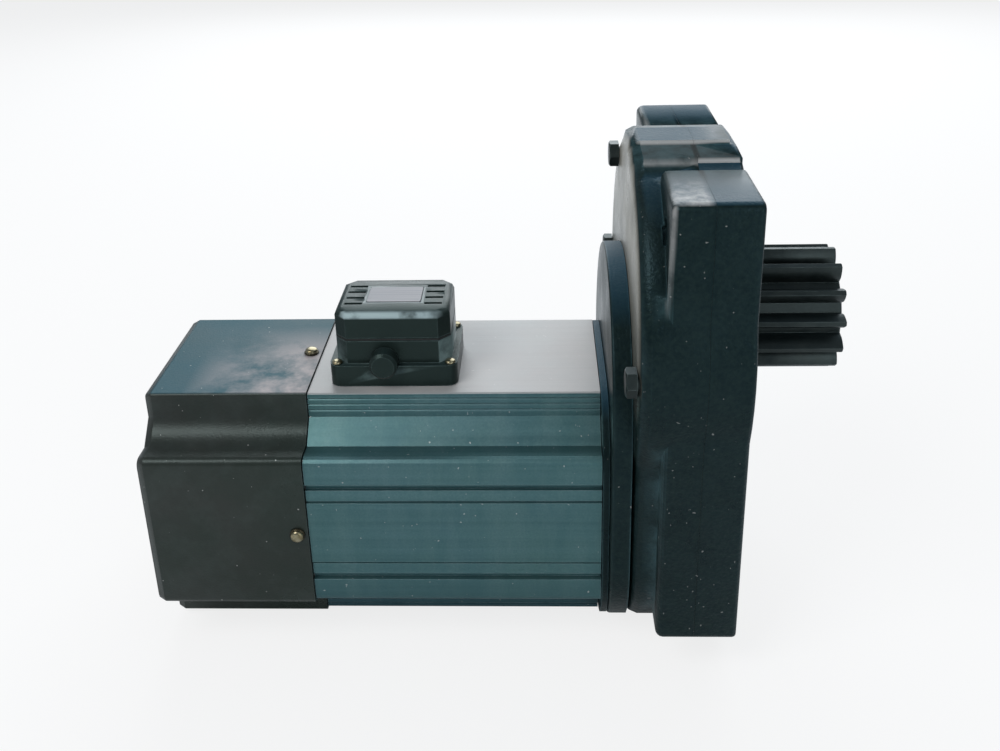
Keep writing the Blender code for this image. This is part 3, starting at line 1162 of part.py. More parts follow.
def build_lid(wall):
    """Moulded lid with ribs each side of a raised frame for the blank plate."""
    top_z = LID_Z + LID_HEIGHT
    sections = rounded_end(lambda inset: inset_outline(wall, inset), LID_EDGE, 2)
    sections.append((wall, LID_HEIGHT))
    sections = [(outline, LID_HEIGHT - depth) for outline, depth in sections]
    lid = add_object("terminal_box_lid", loft_mesh("terminal_box_lid", sections), BLACK_PLASTIC,
                     Matrix.Translation((BOX_X, BOX_CENTRE_Y, LID_Z)))
    wall_w = BOX_WIDTH - 2 * BOX_INSET
    wall_d = BOX_DEPTH - 2 * BOX_INSET
    inside = rounded_rectangle(wall_w - 2 * BOX_WALL - 2 * BOX_SCREW_INSET,
                               wall_d - 2 * BOX_WALL, HOLLOW_CORNER_R, 2)
    mesh, matrix = z_plate([inside], LID_Z - OVERCUT, top_z - 2 * BOX_WALL,
                           BOX_X, BOX_CENTRE_Y, "lid_hollow")
    cut(lid, add_cutter("lid_hollow", mesh, matrix))
    frame_half = PLATE_LENGTH / 2 + LID_FRAME
    groove_end = wall_w / 2 - LID_EDGE - LID_GROOVE_MARGIN
    for number in range(LID_RIBS):
        y = BOX_CENTRE_Y + (number - (LID_RIBS - 1) / 2) * LID_GROOVE_PITCH
        for side in (-1, 1):
            x = BOX_X + side * (frame_half + groove_end) / 2
            cut(lid, block("lid_groove", (groove_end - frame_half, LID_GROOVE_WIDTH,
                                          2 * LID_GROOVE_DEPTH), (x, y, top_z)))
    seat_z = top_z - PLATE_THICKNESS
    cut(lid, block("plate_recess", (PLATE_LENGTH + 2 * SEAT_GAP, PLATE_WIDTH + 2 * SEAT_GAP,
                                    2 * PLATE_THICKNESS), (BOX_X, BOX_CENTRE_Y, top_z)))
    mesh, matrix = z_plate([rounded_rectangle(PLATE_LENGTH, PLATE_WIDTH, MM, 2)],
                           seat_z + SEAT_GAP, top_z + SEAT_GAP, BOX_X, BOX_CENTRE_Y,
                           "blank_plate")
    add_object("blank_plate", mesh, ALUMINIUM, matrix)


build_body()
build_stator()
build_rear_shield()
build_front_flange()
build_rear_cover()
tail_start, tail_end = build_brake_and_encoder()
build_rotor(tail_start, tail_end)
build_layshaft()
build_output_shaft()
build_output_pinion()
build_adapter()
build_case()
build_terminal_box()
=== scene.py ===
"""Looks of a geared motor with a flat gear case and a toothed output pinion."""
import math

import bmesh
import bpy
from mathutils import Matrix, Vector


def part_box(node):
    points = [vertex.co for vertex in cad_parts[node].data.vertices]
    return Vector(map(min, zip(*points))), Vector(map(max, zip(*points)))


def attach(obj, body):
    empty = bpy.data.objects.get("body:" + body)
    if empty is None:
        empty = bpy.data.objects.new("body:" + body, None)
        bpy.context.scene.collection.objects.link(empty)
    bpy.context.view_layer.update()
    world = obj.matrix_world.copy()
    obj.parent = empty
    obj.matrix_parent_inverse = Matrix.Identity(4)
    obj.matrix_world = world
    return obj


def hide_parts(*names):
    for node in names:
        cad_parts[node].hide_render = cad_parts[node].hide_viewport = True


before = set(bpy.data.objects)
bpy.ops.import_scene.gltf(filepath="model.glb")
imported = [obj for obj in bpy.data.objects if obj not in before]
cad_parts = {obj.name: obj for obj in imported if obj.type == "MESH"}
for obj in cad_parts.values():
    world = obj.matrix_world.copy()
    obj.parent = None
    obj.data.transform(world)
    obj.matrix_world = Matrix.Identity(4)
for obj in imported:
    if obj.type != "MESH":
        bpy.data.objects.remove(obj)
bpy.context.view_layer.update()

# ---- motor body ----------------------------------------------------------------------
# An aluminium extrusion, sawn to length and anodised grey. Its fine grooves run along
# the four stepped corners, and dust and painted light lie on its top face.
ANODISED_DARK = (0.055, 0.130, 0.147)
ANODISED_LIGHT = (0.085, 0.180, 0.200)
ANODISED_GREEN = (0.060, 0.150, 0.125)
ANODISED_GRAIN = (0.035, 0.105, 0.120)
HAND_SMUDGE = (0.17, 0.27, 0.27)
LOW_PAINTED_SHADE = (0.018, 0.060, 0.080)
ALUMINIUM_WEAR_AND_HIGHLIGHT = (0.25, 0.36, 0.38)
GREY_DUST_AND_TOP_LIGHT = (0.53, 0.505, 0.50)
BODY_SPECK = (0.7, 0.7, 0.68)
PAINTED_SHADE_HEIGHTS = (0.055, 0.0)            # metres, from unshaded down to fully painted shade
BODY_DUST_AND_LIGHT_HEIGHTS = (0.139, 0.143)      # metres: the film lies only on the top face
MIX_FIRST, MIX_SECOND, MIX_RESULT = 6, 7, 2     # the colour sockets of a Mix node


def new_group(name, inputs, outputs):
    """An empty shader node group with its sockets, its entry and its exit."""
    group = bpy.data.node_groups.new(name, "ShaderNodeTree")
    for label, value in inputs:
        socket = group.interface.new_socket(name=label, in_out="INPUT",
                                            socket_type="NodeSocketFloat")
        socket.default_value = value
    for label in outputs:
        group.interface.new_socket(name=label, in_out="OUTPUT", socket_type="NodeSocketFloat")
    return group, group.nodes.new("NodeGroupInput"), group.nodes.new("NodeGroupOutput")


def spread(tree, value, low, high):
    """Spread a value from low..high to 0..1, and hold it there."""
    node = tree.nodes.new("ShaderNodeMapRange")
    node.inputs["From Min"].default_value = low
    node.inputs["From Max"].default_value = high
    tree.links.new(value, node.inputs["Value"])
    return node.outputs["Result"]


def noise(tree, scale, detail, rough=0.6, stretch=(1, 1, 1), low=0.3, high=0.7):
    """Noise in the object's own metres, spread from low..high to 0..1."""
    place = tree.nodes.new("ShaderNodeTexCoord")
    mapping = tree.nodes.new("ShaderNodeMapping")
    mapping.inputs["Scale"].default_value = stretch
    texture = tree.nodes.new("ShaderNodeTexNoise")
    texture.inputs["Scale"].default_value = scale
    texture.inputs["Detail"].default_value = detail
    texture.inputs["Roughness"].default_value = rough
    tree.links.new(place.outputs["Object"], mapping.inputs["Vector"])
    tree.links.new(mapping.outputs["Vector"], texture.inputs["Vector"])
    return spread(tree, texture.outputs["Fac"], low, high)


def combine(tree, operation, first, second):
    """One Math node on two sockets or numbers, held between 0 and 1."""
    node = tree.nodes.new("ShaderNodeMath")
    node.operation = operation
    node.use_clamp = True
    for socket, value in zip(node.inputs, (first, second)):
        if isinstance(value, (int, float)):
            socket.default_value = value
        else:
            tree.links.new(value, socket)
    return node.outputs["Value"]


def product(tree, first, *others):
    """The product of several masks and numbers."""
    for other in others:
        first = combine(tree, "MULTIPLY", first, other)
    return first


def component(tree, vector, axis):
    """One component of a vector socket."""
    split = tree.nodes.new("ShaderNodeSeparateXYZ")
    tree.links.new(vector, split.inputs["Vector"])
    return split.outputs[axis]


def across(tree, axis, low, high):
    """A mask that runs from 0 to 1 between two places along an axis, in metres."""
    place = tree.nodes.new("ShaderNodeTexCoord")
    return spread(tree, component(tree, place.outputs["Object"], axis), low, high)


def facing(tree, axis, low, high):
    """A mask of the faces whose normal points along an axis, from low to high."""
    surface = tree.nodes.new("ShaderNodeNewGeometry")
    return spread(tree, component(tree, surface.outputs["Normal"], axis), low, high)


def dust_and_top_light_group():
    """A film on faces turned up, for dust and for painted light, with single pale specks
    everywhere.
    """
    group, entry, leave = new_group("dust and painted top light", [("Film", 0.5), ("Specks", 0.5)],
                                    ["Film", "Specks"])
    patches = noise(group, scale=14, detail=6, low=0.25, high=0.6)
    film = product(group, facing(group, "Z", 0.74, 0.97),
                   combine(group, "ADD", product(group, patches, 0.3), 0.7),
                   entry.outputs["Film"])
    specks = noise(group, scale=520, detail=1, rough=0.4, low=0.77, high=0.8)
    group.links.new(film, leave.inputs["Film"])
    group.links.new(product(group, specks, entry.outputs["Specks"]), leave.inputs["Specks"])
    return group


def edge_wear_and_highlight_group():
    """Where a sharp edge is close by: rubbed, and brighter than the faces as a painted
    highlight.
    """
    group, entry, leave = new_group("edge wear and painted highlight", [("Reach", 0.0008), ("Strength", 1.0)],
                                    ["Mask"])
    bevel = group.nodes.new("ShaderNodeBevel")
    bevel.samples = 6
    group.links.new(entry.outputs["Reach"], bevel.inputs["Radius"])
    surface = group.nodes.new("ShaderNodeNewGeometry")
    dot = group.nodes.new("ShaderNodeVectorMath")
    dot.operation = "DOT_PRODUCT"
    group.links.new(bevel.outputs["Normal"], dot.inputs[0])
    group.links.new(surface.outputs["True Normal"], dot.inputs[1])
    rubbed = product(group, combine(group, "SUBTRACT", 1.0, dot.outputs["Value"]),
                     noise(group, scale=60, detail=5, rough=0.7, low=0.3, high=0.6),
                     entry.outputs["Strength"])
    group.links.new(rubbed, leave.inputs["Mask"])
    return group


# The film of this group is dust together with painted light on faces turned up.
DUST_AND_TOP_LIGHT = dust_and_top_light_group()
# Edges carry wear together with painted highlights.
EDGE_WEAR_AND_HIGHLIGHT = edge_wear_and_highlight_group()


def place_group(tree, group, **values):
    """Put a node group in a material, with its own values."""
    node = tree.nodes.new("ShaderNodeGroup")
    node.node_tree = group
    for label, value in values.items():
        node.inputs[label].default_value = value
    return node


def new_finish(name, roughness, metallic, specular=0.5, sheen=(1, 1, 1)):
    """A material with its tree and Principled shader; sheen colours its reflections."""
    finish = bpy.data.materials.new(name)
    finish.use_nodes = True
    tree = finish.node_tree
    shader = tree.nodes["Principled BSDF"]
    shader.inputs["Roughness"].default_value = roughness
    shader.inputs["Metallic"].default_value = metallic
    shader.inputs["Specular IOR Level"].default_value = specular
    shader.inputs["Specular Tint"].default_value = (*sheen, 1)
    return finish, tree, shader


def tint(tree, mask, first, second):
    """Mix two colours, or a colour socket and a colour, by a mask."""
    node = tree.nodes.new("ShaderNodeMix")
    node.data_type = "RGBA"
    tree.links.new(mask, node.inputs["Factor"])
    for place, value in ((MIX_FIRST, first), (MIX_SECOND, second)):
        if isinstance(value, tuple):
            node.inputs[place].default_value = (*value, 1)
        else:
            tree.links.new(value, node.inputs[place])
    return node.outputs[MIX_RESULT]


def ramp(tree, mask, low, high):
    """Spread a mask from 0..1 to low..high."""
    node = tree.nodes.new("ShaderNodeMapRange")
    node.inputs["To Min"].default_value = low
    node.inputs["To Max"].default_value = high
    tree.links.new(mask, node.inputs["Value"])
    return node.outputs["Result"]


def relief(tree, shader, height, depth, edge=0.0004):
    """Small relief on the surface, over edges that are softened by a small radius."""
    bevel = tree.nodes.new("ShaderNodeBevel")
    bevel.samples = 4
    bevel.inputs["Radius"].default_value = edge
    bump = tree.nodes.new("ShaderNodeBump")
    bump.inputs["Distance"].default_value = depth
    tree.links.new(height, bump.inputs["Height"])
    tree.links.new(bevel.outputs["Normal"], bump.inputs["Normal"])
    tree.links.new(bump.outputs["Normal"], shader.inputs["Normal"])


def dress_nodes(finish, *names):
    """Give CAD nodes their finish."""
    for name in names:
        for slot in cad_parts[name].material_slots:
            slot.material = finish


anodised, tree, shader = new_finish("grey anodised extrusion", roughness=0.36, metallic=0.6)
streaks = noise(tree, scale=40, detail=4, stretch=(0.05, 6, 6))
clouds = noise(tree, scale=9, detail=5, rough=0.65)
smudges = noise(tree, scale=34, detail=6, rough=0.7, stretch=(1.6, 1, 0.35),
                low=0.42, high=0.75)
grain = noise(tree, scale=900, detail=2, rough=0.5)
dust_and_light = place_group(tree, DUST_AND_TOP_LIGHT, Film=0.85, Specks=0.5)
wear_and_highlight = place_group(tree, EDGE_WEAR_AND_HIGHLIGHT, Reach=0.0009, Strength=2.5)
film = product(tree, dust_and_light.outputs["Film"], across(tree, "Z", *BODY_DUST_AND_LIGHT_HEIGHTS))
colour = tint(tree, streaks, ANODISED_DARK, ANODISED_LIGHT)
colour = tint(tree, product(tree, clouds, 0.55), colour, ANODISED_GREEN)
colour = tint(tree, product(tree, smudges, 0.35), colour, HAND_SMUDGE)
colour = tint(tree, product(tree, grain, 0.35), colour, ANODISED_GRAIN)
# Painted shade: the colour darkens towards the bottom.
colour = tint(tree, product(tree, across(tree, "Z", *PAINTED_SHADE_HEIGHTS), 0.8), colour, LOW_PAINTED_SHADE)
# Edge wear together with painted highlights on the edges.
colour = tint(tree, wear_and_highlight.outputs["Mask"], colour, ALUMINIUM_WEAR_AND_HIGHLIGHT)
# Dust on the top face, with painted light that makes the top face lighter and more neutral.
colour = tint(tree, film, colour, GREY_DUST_AND_TOP_LIGHT)
colour = tint(tree, dust_and_light.outputs["Specks"], colour, BODY_SPECK)
dulled = combine(tree, "MAXIMUM", ramp(tree, streaks, 0.30, 0.42), ramp(tree, film, 0.2, 0.62))
tree.links.new(colour, shader.inputs["Base Color"])
tree.links.new(ramp(tree, film, 0.6, 0.05), shader.inputs["Metallic"])
tree.links.new(dulled, shader.inputs["Roughness"])
relief(tree, shader, streaks, depth=0.00006, edge=0.0003)
dress_nodes(anodised, "motor_body")

# ---- stator, windings, brake, bearings and gears -------------------------------------
# The works inside the housings: stacked laminations with varnished copper end turns, a
# cast aluminium end shield, and ground steel shafts, gears and bearings, pressed home.


def mottled_finish(name, roughness, metallic, dark, light, depth, polish=None, **pattern):
    """A finish whose colour and relief, and its polish if given, follow one noise."""
    finish, tree, shader = new_finish(name, roughness, metallic)
    mottle = noise(tree, **pattern)
    tree.links.new(tint(tree, mottle, dark, light), shader.inputs["Base Color"])
    if polish:
        tree.links.new(ramp(tree, mottle, *polish), shader.inputs["Roughness"])
    relief(tree, shader, mottle, depth)
    return finish


laminated = mottled_finish("laminated steel", roughness=0.5, metallic=0.9,
                           dark=(0.05, 0.05, 0.05), light=(0.14, 0.14, 0.14), depth=0.00005,
                           scale=30, detail=3, rough=0.5, stretch=(40, 0.2, 0.2))
dress_nodes(laminated, "stator_core", "rotor_core", "brake_disc", "brake_magnet")

wound = mottled_finish("varnished copper wire", roughness=0.35, metallic=0.7,
                       dark=(0.25, 0.08, 0.03), light=(0.62, 0.27, 0.11), depth=0.0004,
                       scale=50, detail=3, rough=0.5, stretch=(12, 1, 1),
                       low=0.35, high=0.65)
dress_nodes(wound, "winding_rear", "winding_front")

cast = mottled_finish("cast aluminium", roughness=0.45, metallic=0.9,
                      dark=(0.42, 0.42, 0.44), light=(0.62, 0.62, 0.63), depth=0.0001,
                      scale=300, detail=5)
dress_nodes(cast, "rear_end_shield", "encoder_disc")

ground = mottled_finish("ground steel", roughness=0.25, metallic=1.0,
                        dark=(0.42, 0.42, 0.43), light=(0.60, 0.60, 0.60), depth=0.00003,
                        polish=(0.2, 0.36), scale=120, detail=3, rough=0.5,
                        stretch=(8, 1, 1))
dress_nodes(ground, "rear_bearing", "front_bearing", "brake_armature", "motor_shaft",
            "motor_pinion", "lay_gear", "lay_shaft", "lay_pinion", "lay_bearing_rear",
            "lay_bearing_front", "output_bearing_rear", "output_bearing_front",
            "output_gear", "output_shaft")

# ---- rear cover and its screws -------------------------------------------------------
# A black moulded cap over the brake and encoder, rounded at its rear edge. Yellow
# zinc-plated pan head screws with washers hold it in the middle of each face.
COVER_DARK = (0.012, 0.019, 0.013)
COVER_BROWN = (0.027, 0.025, 0.022)
COVER_SMEAR = (0.07, 0.085, 0.08)
COVER_WEAR_AND_HIGHLIGHT = (0.10, 0.13, 0.14)
COVER_BLUE_REFLECTION = (0.032, 0.150, 0.205)
PALE_PAINTED_REFLECTION = (0.60, 0.50, 0.49)
COVER_SPECK = (0.6, 0.6, 0.58)
COVER_DUST_AND_SHEEN_HEIGHTS = (0.128, 0.142)     # metres
PALE_ALONG = (-0.165, -0.110)           # the pale painted reflection strengthens to the front and to the near side
PALE_ACROSS = (0.035, -0.020)           # and to the near side
WELD = 0.000002
FLAT_WITHIN = math.radians(0.2)
EDGE_FROM = math.radians(40)
SOFT_COPY_SMOOTH = math.radians(35)
FASTENER_SMOOTH = math.radians(32)
SCREW_GAP = 0.00002                     # keeps head, washer and shank separate skins
WASHER_THICKNESS = 0.0008


def soft_copy(name, body, finish, picks=()):
    """Copy a CAD node with its facets merged and chosen edges rounded, in its place.

    picks is a list of (choice, width, segments), where choice tells an edge to round.
    """
    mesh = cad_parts[name].data.copy()
    shape = bmesh.new()
    shape.from_mesh(mesh)
    bmesh.ops.remove_doubles(shape, verts=shape.verts, dist=WELD)
    bmesh.ops.dissolve_limit(shape, angle_limit=FLAT_WITHIN, verts=shape.verts,
                             edges=shape.edges)
    for choice, width, segments in picks:
        edges = [edge for edge in shape.edges if edge.is_manifold
                 and edge.calc_face_angle(0) > EDGE_FROM and choice(edge)]
        bmesh.ops.bevel(shape, geom=edges, offset=width, offset_type="OFFSET",
                        segments=segments, profile=0.5, affect="EDGES", clamp_overlap=False)
    bmesh.ops.remove_doubles(shape, verts=shape.verts, dist=WELD)
    bmesh.ops.recalc_face_normals(shape, faces=shape.faces)
    shape.to_mesh(mesh)
    shape.free()
    mesh.materials.clear()
    mesh.materials.append(finish)
    mesh.shade_smooth()
    mesh.set_sharp_from_angle(angle=SOFT_COPY_SMOOTH)
    piece = bpy.data.objects.new(name + "_skin", mesh)
    bpy.context.collection.objects.link(piece)
    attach(piece, body)
    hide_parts(name)
    return piece


moulded, tree, shader = new_finish("black moulded cover", roughness=0.3, metallic=0.0,
                                   specular=0.35, sheen=(0.8, 1.0, 1.0))
pores = noise(tree, scale=900, detail=3, rough=0.5)
clouds = noise(tree, scale=12, detail=5)
smears = noise(tree, scale=45, detail=6, rough=0.7, low=0.45, high=0.8)
dust_and_light = place_group(tree, DUST_AND_TOP_LIGHT, Film=0.55, Specks=0.6)
wear_and_highlight = place_group(tree, EDGE_WEAR_AND_HIGHLIGHT, Reach=0.0012, Strength=0.8)
film = product(tree, dust_and_light.outputs["Film"], across(tree, "Z", *COVER_DUST_AND_SHEEN_HEIGHTS))
# Painted pinkish reflection on the front and near part of the cover's top face.
pale = product(tree, film, across(tree, "X", *PALE_ALONG), across(tree, "Y", *PALE_ACROSS),
               noise(tree, scale=26, detail=5, rough=0.65, low=0.34, high=0.58))
colour = tint(tree, clouds, COVER_DARK, COVER_BROWN)
colour = tint(tree, product(tree, smears, 0.25), colour, COVER_SMEAR)
# Edge wear together with painted highlights on the edges.
colour = tint(tree, wear_and_highlight.outputs["Mask"], colour, COVER_WEAR_AND_HIGHLIGHT)
# Painted blue reflection on the cover's top face, with dust dulling its gloss.
colour = tint(tree, film, colour, COVER_BLUE_REFLECTION)
colour = tint(tree, product(tree, pale, 1.7), colour, PALE_PAINTED_REFLECTION)
colour = tint(tree, dust_and_light.outputs["Specks"], colour, COVER_SPECK)
dulled = combine(tree, "MAXIMUM", ramp(tree, clouds, 0.24, 0.4), ramp(tree, film, 0.2, 0.9))
tree.links.new(colour, shader.inputs["Base Color"])
tree.links.new(dulled, shader.inputs["Roughness"])
relief(tree, shader, pores, depth=0.00004)
soft_copy("rear_cover", "housing", moulded)
dress_nodes(moulded, "encoder_body")

zinc = mottled_finish("yellow zinc plating", roughness=0.3, metallic=1.0,
                      dark=(0.20, 0.165, 0.09), light=(0.48, 0.44, 0.31), depth=0.00005,
                      scale=260, detail=4)
tarnished = mottled_finish("tarnished washer", roughness=0.45, metallic=0.8,
                           dark=(0.02, 0.018, 0.014), light=(0.10, 0.085, 0.05),
                           depth=0.00008, scale=300, detail=4)


def turned(shape, profile, steps, matter=0):
    """Turn a profile of (radius, height) pairs about the local Z axis into a closed skin."""
    rings = []
    for radius, height in profile:
        if radius == 0:
            rings.append([shape.verts.new((0, 0, height))])
            continue
        rings.append([shape.verts.new((radius * math.cos(math.tau * step / steps),
                                       radius * math.sin(math.tau * step / steps), height))
                      for step in range(steps)])
    for low, high in zip(rings, rings[1:]):
        for step in range(steps):
            after = (step + 1) % steps
            corners = []
            for vert in (low[step % len(low)], low[after % len(low)],
                         high[after % len(high)], high[step % len(high)]):
                if vert not in corners:
                    corners.append(vert)
            shape.faces.new(corners).material_index = matter


def built_mesh(name, build):
    """A mesh with the skins that a build function makes, all turned outward."""
    mesh = bpy.data.meshes.new(name)
    shape = bmesh.new()
    build(shape)
    bmesh.ops.recalc_face_normals(shape, faces=shape.faces)
    shape.to_mesh(mesh)
    shape.free()
    return mesh


def fastener(name, body, outward, finishes, build, carve, operation):
    """Build a screw about local Z, carve its head, and lay it in the CAD node's place."""
    low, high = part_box(name)
    outward = Vector(outward)
    tip = Vector([(low[i] + high[i]) / 2 + outward[i] * (high[i] - low[i]) / 2
                     for i in range(3)])
    place = outward.to_track_quat("Z", "Y").to_matrix().to_4x4()
    place.translation = tip
    mesh = built_mesh(name + "_skin", build)
    for finish in finishes:
        mesh.materials.append(finish)
    piece = bpy.data.objects.new(name + "_skin", mesh)
    tool = bpy.data.objects.new("tool", built_mesh("tool", carve))
    bpy.context.collection.objects.link(piece)
    bpy.context.collection.objects.link(tool)
    boolean = piece.modifiers.new("carve", "BOOLEAN")
    boolean.object = tool
    boolean.operation = operation
    boolean.solver = "EXACT"
    bpy.context.view_layer.update()
    solid = piece.evaluated_get(bpy.context.evaluated_depsgraph_get())
    mesh = bpy.data.meshes.new_from_object(solid)
    piece.modifiers.clear()
    piece.data = mesh
    bpy.data.objects.remove(tool)
    mesh.transform(place)
    mesh.shade_smooth()
    mesh.set_sharp_from_angle(angle=FASTENER_SMOOTH)
    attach(piece, body)
    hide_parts(name)


def cross_recess(shape):
    """A cross-shaped plug, narrower at its foot, that sinks the driver's recess."""
    for across_x in (True, False):
        corners = []
        for wide, narrow, height in ((0.00165, 0.0004, 0.0004), (0.0009, 0.00025, -0.0011)):
            for along, side in ((-1, -1), (1, -1), (1, 1), (-1, 1)):
                x, y = along * wide, side * narrow
                if not across_x:
                    x, y = y, x
                corners.append(shape.verts.new((x, y, height)))
        for face in ((0, 1, 2, 3), (4, 5, 6, 7), (0, 1, 5, 4), (1, 2, 6, 5), (2, 3, 7, 6),
                     (3, 0, 4, 7)):
            shape.faces.new([corners[i] for i in face])


def pan_head(shape, head=0.0035, tall=0.0022, washer=0.0041, shank=0.002, length=0.008):
    """A pan head over its shank, with a washer under it where it has one."""
    turned(shape, [(0, 0), (head * 0.45, -0.0001), (head * 0.78, -tall * 0.2),
                   (head * 0.95, -tall * 0.45), (head, -tall * 0.72), (head, -tall),
                   (0, -tall)], steps=24)
    under = tall
    if washer:
        turned(shape, [(0, -tall - SCREW_GAP), (washer - 0.0002, -tall - SCREW_GAP),
                       (washer, -tall - 0.0002), (washer, -tall - WASHER_THICKNESS),
                       (0, -tall - WASHER_THICKNESS)], steps=24, matter=1)
        under += WASHER_THICKNESS
    turned(shape, [(0, -under - SCREW_GAP), (shank, -under - SCREW_GAP),
                   (shank, -under - length), (0, -under - length)], steps=12)


for side, outward in (("top", (0, 0, 1)), ("near", (0, -1, 0)), ("bottom", (0, 0, -1)),
                      ("far", (0, 1, 0))):
    fastener("cover_screw_" + side, "housing", outward, (zinc, tarnished),
             pan_head, cross_recess, "DIFFERENCE")

# ---- front flange and adapter --------------------------------------------------------
# A thin painted flange closes the motor's front, and an arched adapter plate carries
# the gear case. Both wear the same thick black gloss paint as the case.
PAINT_DEEP = (0.002, 0.006, 0.006)
PAINT_RIPPLE = (0.005, 0.011, 0.011)
PAINT_MOTTLE = (0.012, 0.022, 0.018)
PAINT_WEAR_AND_HIGHLIGHT = (0.08, 0.16, 0.18)
PAINT_TOP_SHEEN = (0.03, 0.10, 0.16)
REAR_FACE_PAINTED_REFLECTION = (0.33, 0.31, 0.265)
PAINTED_HIGHLIGHT_PALE = (0.56, 0.55, 0.54)
PAINT_SPECK = (0.5, 0.5, 0.48)
SEAM_REAR = (0.1042, 0.1032)            # the case's parting line gets neither edge wear nor painted highlight: X in metres behind it and before it
SEAM_FRONT = (0.1060, 0.1070)           # metres behind it and before it
REFLECTION_REAR, REFLECTION_FRONT = (0.069, 0.0715), (0.0760, 0.0740)       # X of the case's rear face
REFLECTION_HEIGHTS = (0.150, 0.230)
CROWN_FLANK_Z, CROWN_FLANK_Y = (0.2635, 0.2650), (-0.034, -0.032)
LUG_TOP_Y, LUG_TOP_X, LUG_TOP_Z = (-0.048, -0.078), (0.1056, 0.1020), (0.262, 0.264)
LUG_CORNER_X, LUG_CORNER_Z = (0.084, 0.0853), (0.200, 0.262)
FACES_UP, FACES_REAR, FACES_NEAR = (0.7, 0.95), (-0.8, -0.98), (-0.7, -0.95)
TURNS_AWAY = (-0.25, -0.6)
ADAPTER_ROUNDING = 0.0012
IN_PLANE = 0.00002

painted, tree, shader = new_finish("black gloss paint", roughness=0.3, metallic=0.0,
                                   specular=0.22, sheen=(0.5, 0.85, 1.0))
ripple = noise(tree, scale=45, detail=4, rough=0.5)
grain = noise(tree, scale=700, detail=3, rough=0.5)
mottle = noise(tree, scale=420, detail=3, low=0.35, high=0.7)
thin = noise(tree, scale=30, detail=6, low=-0.1, high=0.5)
dust_and_light = place_group(tree, DUST_AND_TOP_LIGHT, Film=0.5, Specks=0.35)
wear_and_highlight = place_group(tree, EDGE_WEAR_AND_HIGHLIGHT, Reach=0.002, Strength=1.6)
off_seam = combine(tree, "MAXIMUM", across(tree, "X", *SEAM_REAR),
                   across(tree, "X", *SEAM_FRONT))
# Painted reflection: a pale patch on the case's rear face, broken up by noise.
bare = product(tree, facing(tree, "X", *FACES_REAR), across(tree, "X", *REFLECTION_REAR),
               across(tree, "X", *REFLECTION_FRONT), across(tree, "Z", *REFLECTION_HEIGHTS), thin)
# Painted highlights: a line on the crown's flank, patches on the lug tops and on a lug's
# rounded corner.
crown_flank = product(tree, facing(tree, "Y", *FACES_NEAR),
                      across(tree, "Z", *CROWN_FLANK_Z), across(tree, "Y", *CROWN_FLANK_Y))
lug_top = product(tree, facing(tree, "Z", *FACES_UP), across(tree, "Y", *LUG_TOP_Y),
                  across(tree, "X", *LUG_TOP_X), across(tree, "Z", *LUG_TOP_Z),
                  noise(tree, scale=70, detail=5, rough=0.7, low=0.3, high=0.6))
lug_corner = product(tree, facing(tree, "X", *TURNS_AWAY), facing(tree, "Y", *TURNS_AWAY),
                     across(tree, "X", *LUG_CORNER_X), across(tree, "Z", *LUG_CORNER_Z))
pale_highlight = product(tree, combine(tree, "MAXIMUM",
                               combine(tree, "MAXIMUM", crown_flank, lug_top),
                               product(tree, lug_corner, 0.6)),
                 noise(tree, scale=45, detail=5, low=0.25, high=0.5), 0.8)
colour = tint(tree, ripple, PAINT_DEEP, PAINT_RIPPLE)
colour = tint(tree, product(tree, mottle, 0.6), colour, PAINT_MOTTLE)
# Edge wear together with painted bluish highlights on the edges.
colour = tint(tree, product(tree, wear_and_highlight.outputs["Mask"], off_seam), colour, PAINT_WEAR_AND_HIGHLIGHT)
# Painted bluish reflection on faces turned up, with dust dulling their gloss.
colour = tint(tree, dust_and_light.outputs["Film"], colour, PAINT_TOP_SHEEN)
# Painted pale reflection on the case's rear face.
colour = tint(tree, product(tree, bare, 0.85), colour, REAR_FACE_PAINTED_REFLECTION)
# Painted pale highlights.
colour = tint(tree, pale_highlight, colour, PAINTED_HIGHLIGHT_PALE)
colour = tint(tree, dust_and_light.outputs["Specks"], colour, PAINT_SPECK)
dulled = combine(tree, "MAXIMUM", ramp(tree, ripple, 0.26, 0.4),
                 ramp(tree, dust_and_light.outputs["Film"], 0.2, 0.85))
tree.links.new(colour, shader.inputs["Base Color"])
tree.links.new(dulled, shader.inputs["Roughness"])
relief(tree, shader, combine(tree, "ADD", product(tree, ripple, 0.7),
                             product(tree, grain, 0.3)), depth=0.0003)


def on_x(x):
    """Tells the edges that lie in the plane at x."""
    return lambda edge: all(abs(vert.co.x - x) < IN_PLANE for vert in edge.verts)


adapter_low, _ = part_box("adapter_housing")
soft_copy("front_flange", "housing", painted)
soft_copy("adapter_housing", "housing", painted,
          [(on_x(adapter_low[0]), ADAPTER_ROUNDING, 3)])

# ---- gear case -----------------------------------------------------------------------
# Two sand castings that part in the middle of the corner lugs, painted black after
# assembly. Their outer edges are well rounded, and hexagon head bolts clamp them.
_, inner_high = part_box("gear_case_inner")
outer_low, outer_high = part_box("gear_case_outer")
LUG_REAR = outer_high[0] - 0.042        # X of the lugs' rear plane
LUG_HOLE_Y, LUG_HOLE_Z = 0.071, 0.245
LUG_HOLE_ROOM = 0.0095                  # half side of the square that holds a lug's hole
OUTPUT_AXIS_Z = 0.1735
BORE_ROOM = 0.0625                      # half side of the square that holds the bores
LUG_ROUNDING = 0.004
CASE_ROUNDING = 0.002
SEAM = 0.00006
BLACKENED_DARK = (0.016, 0.024, 0.024)
BLACKENED_LIGHT = (0.034, 0.044, 0.042)
STEEL_WEAR_AND_HIGHLIGHT = (0.22, 0.28, 0.27)
STEEL_TOP_SHEEN = (0.05, 0.08, 0.09)


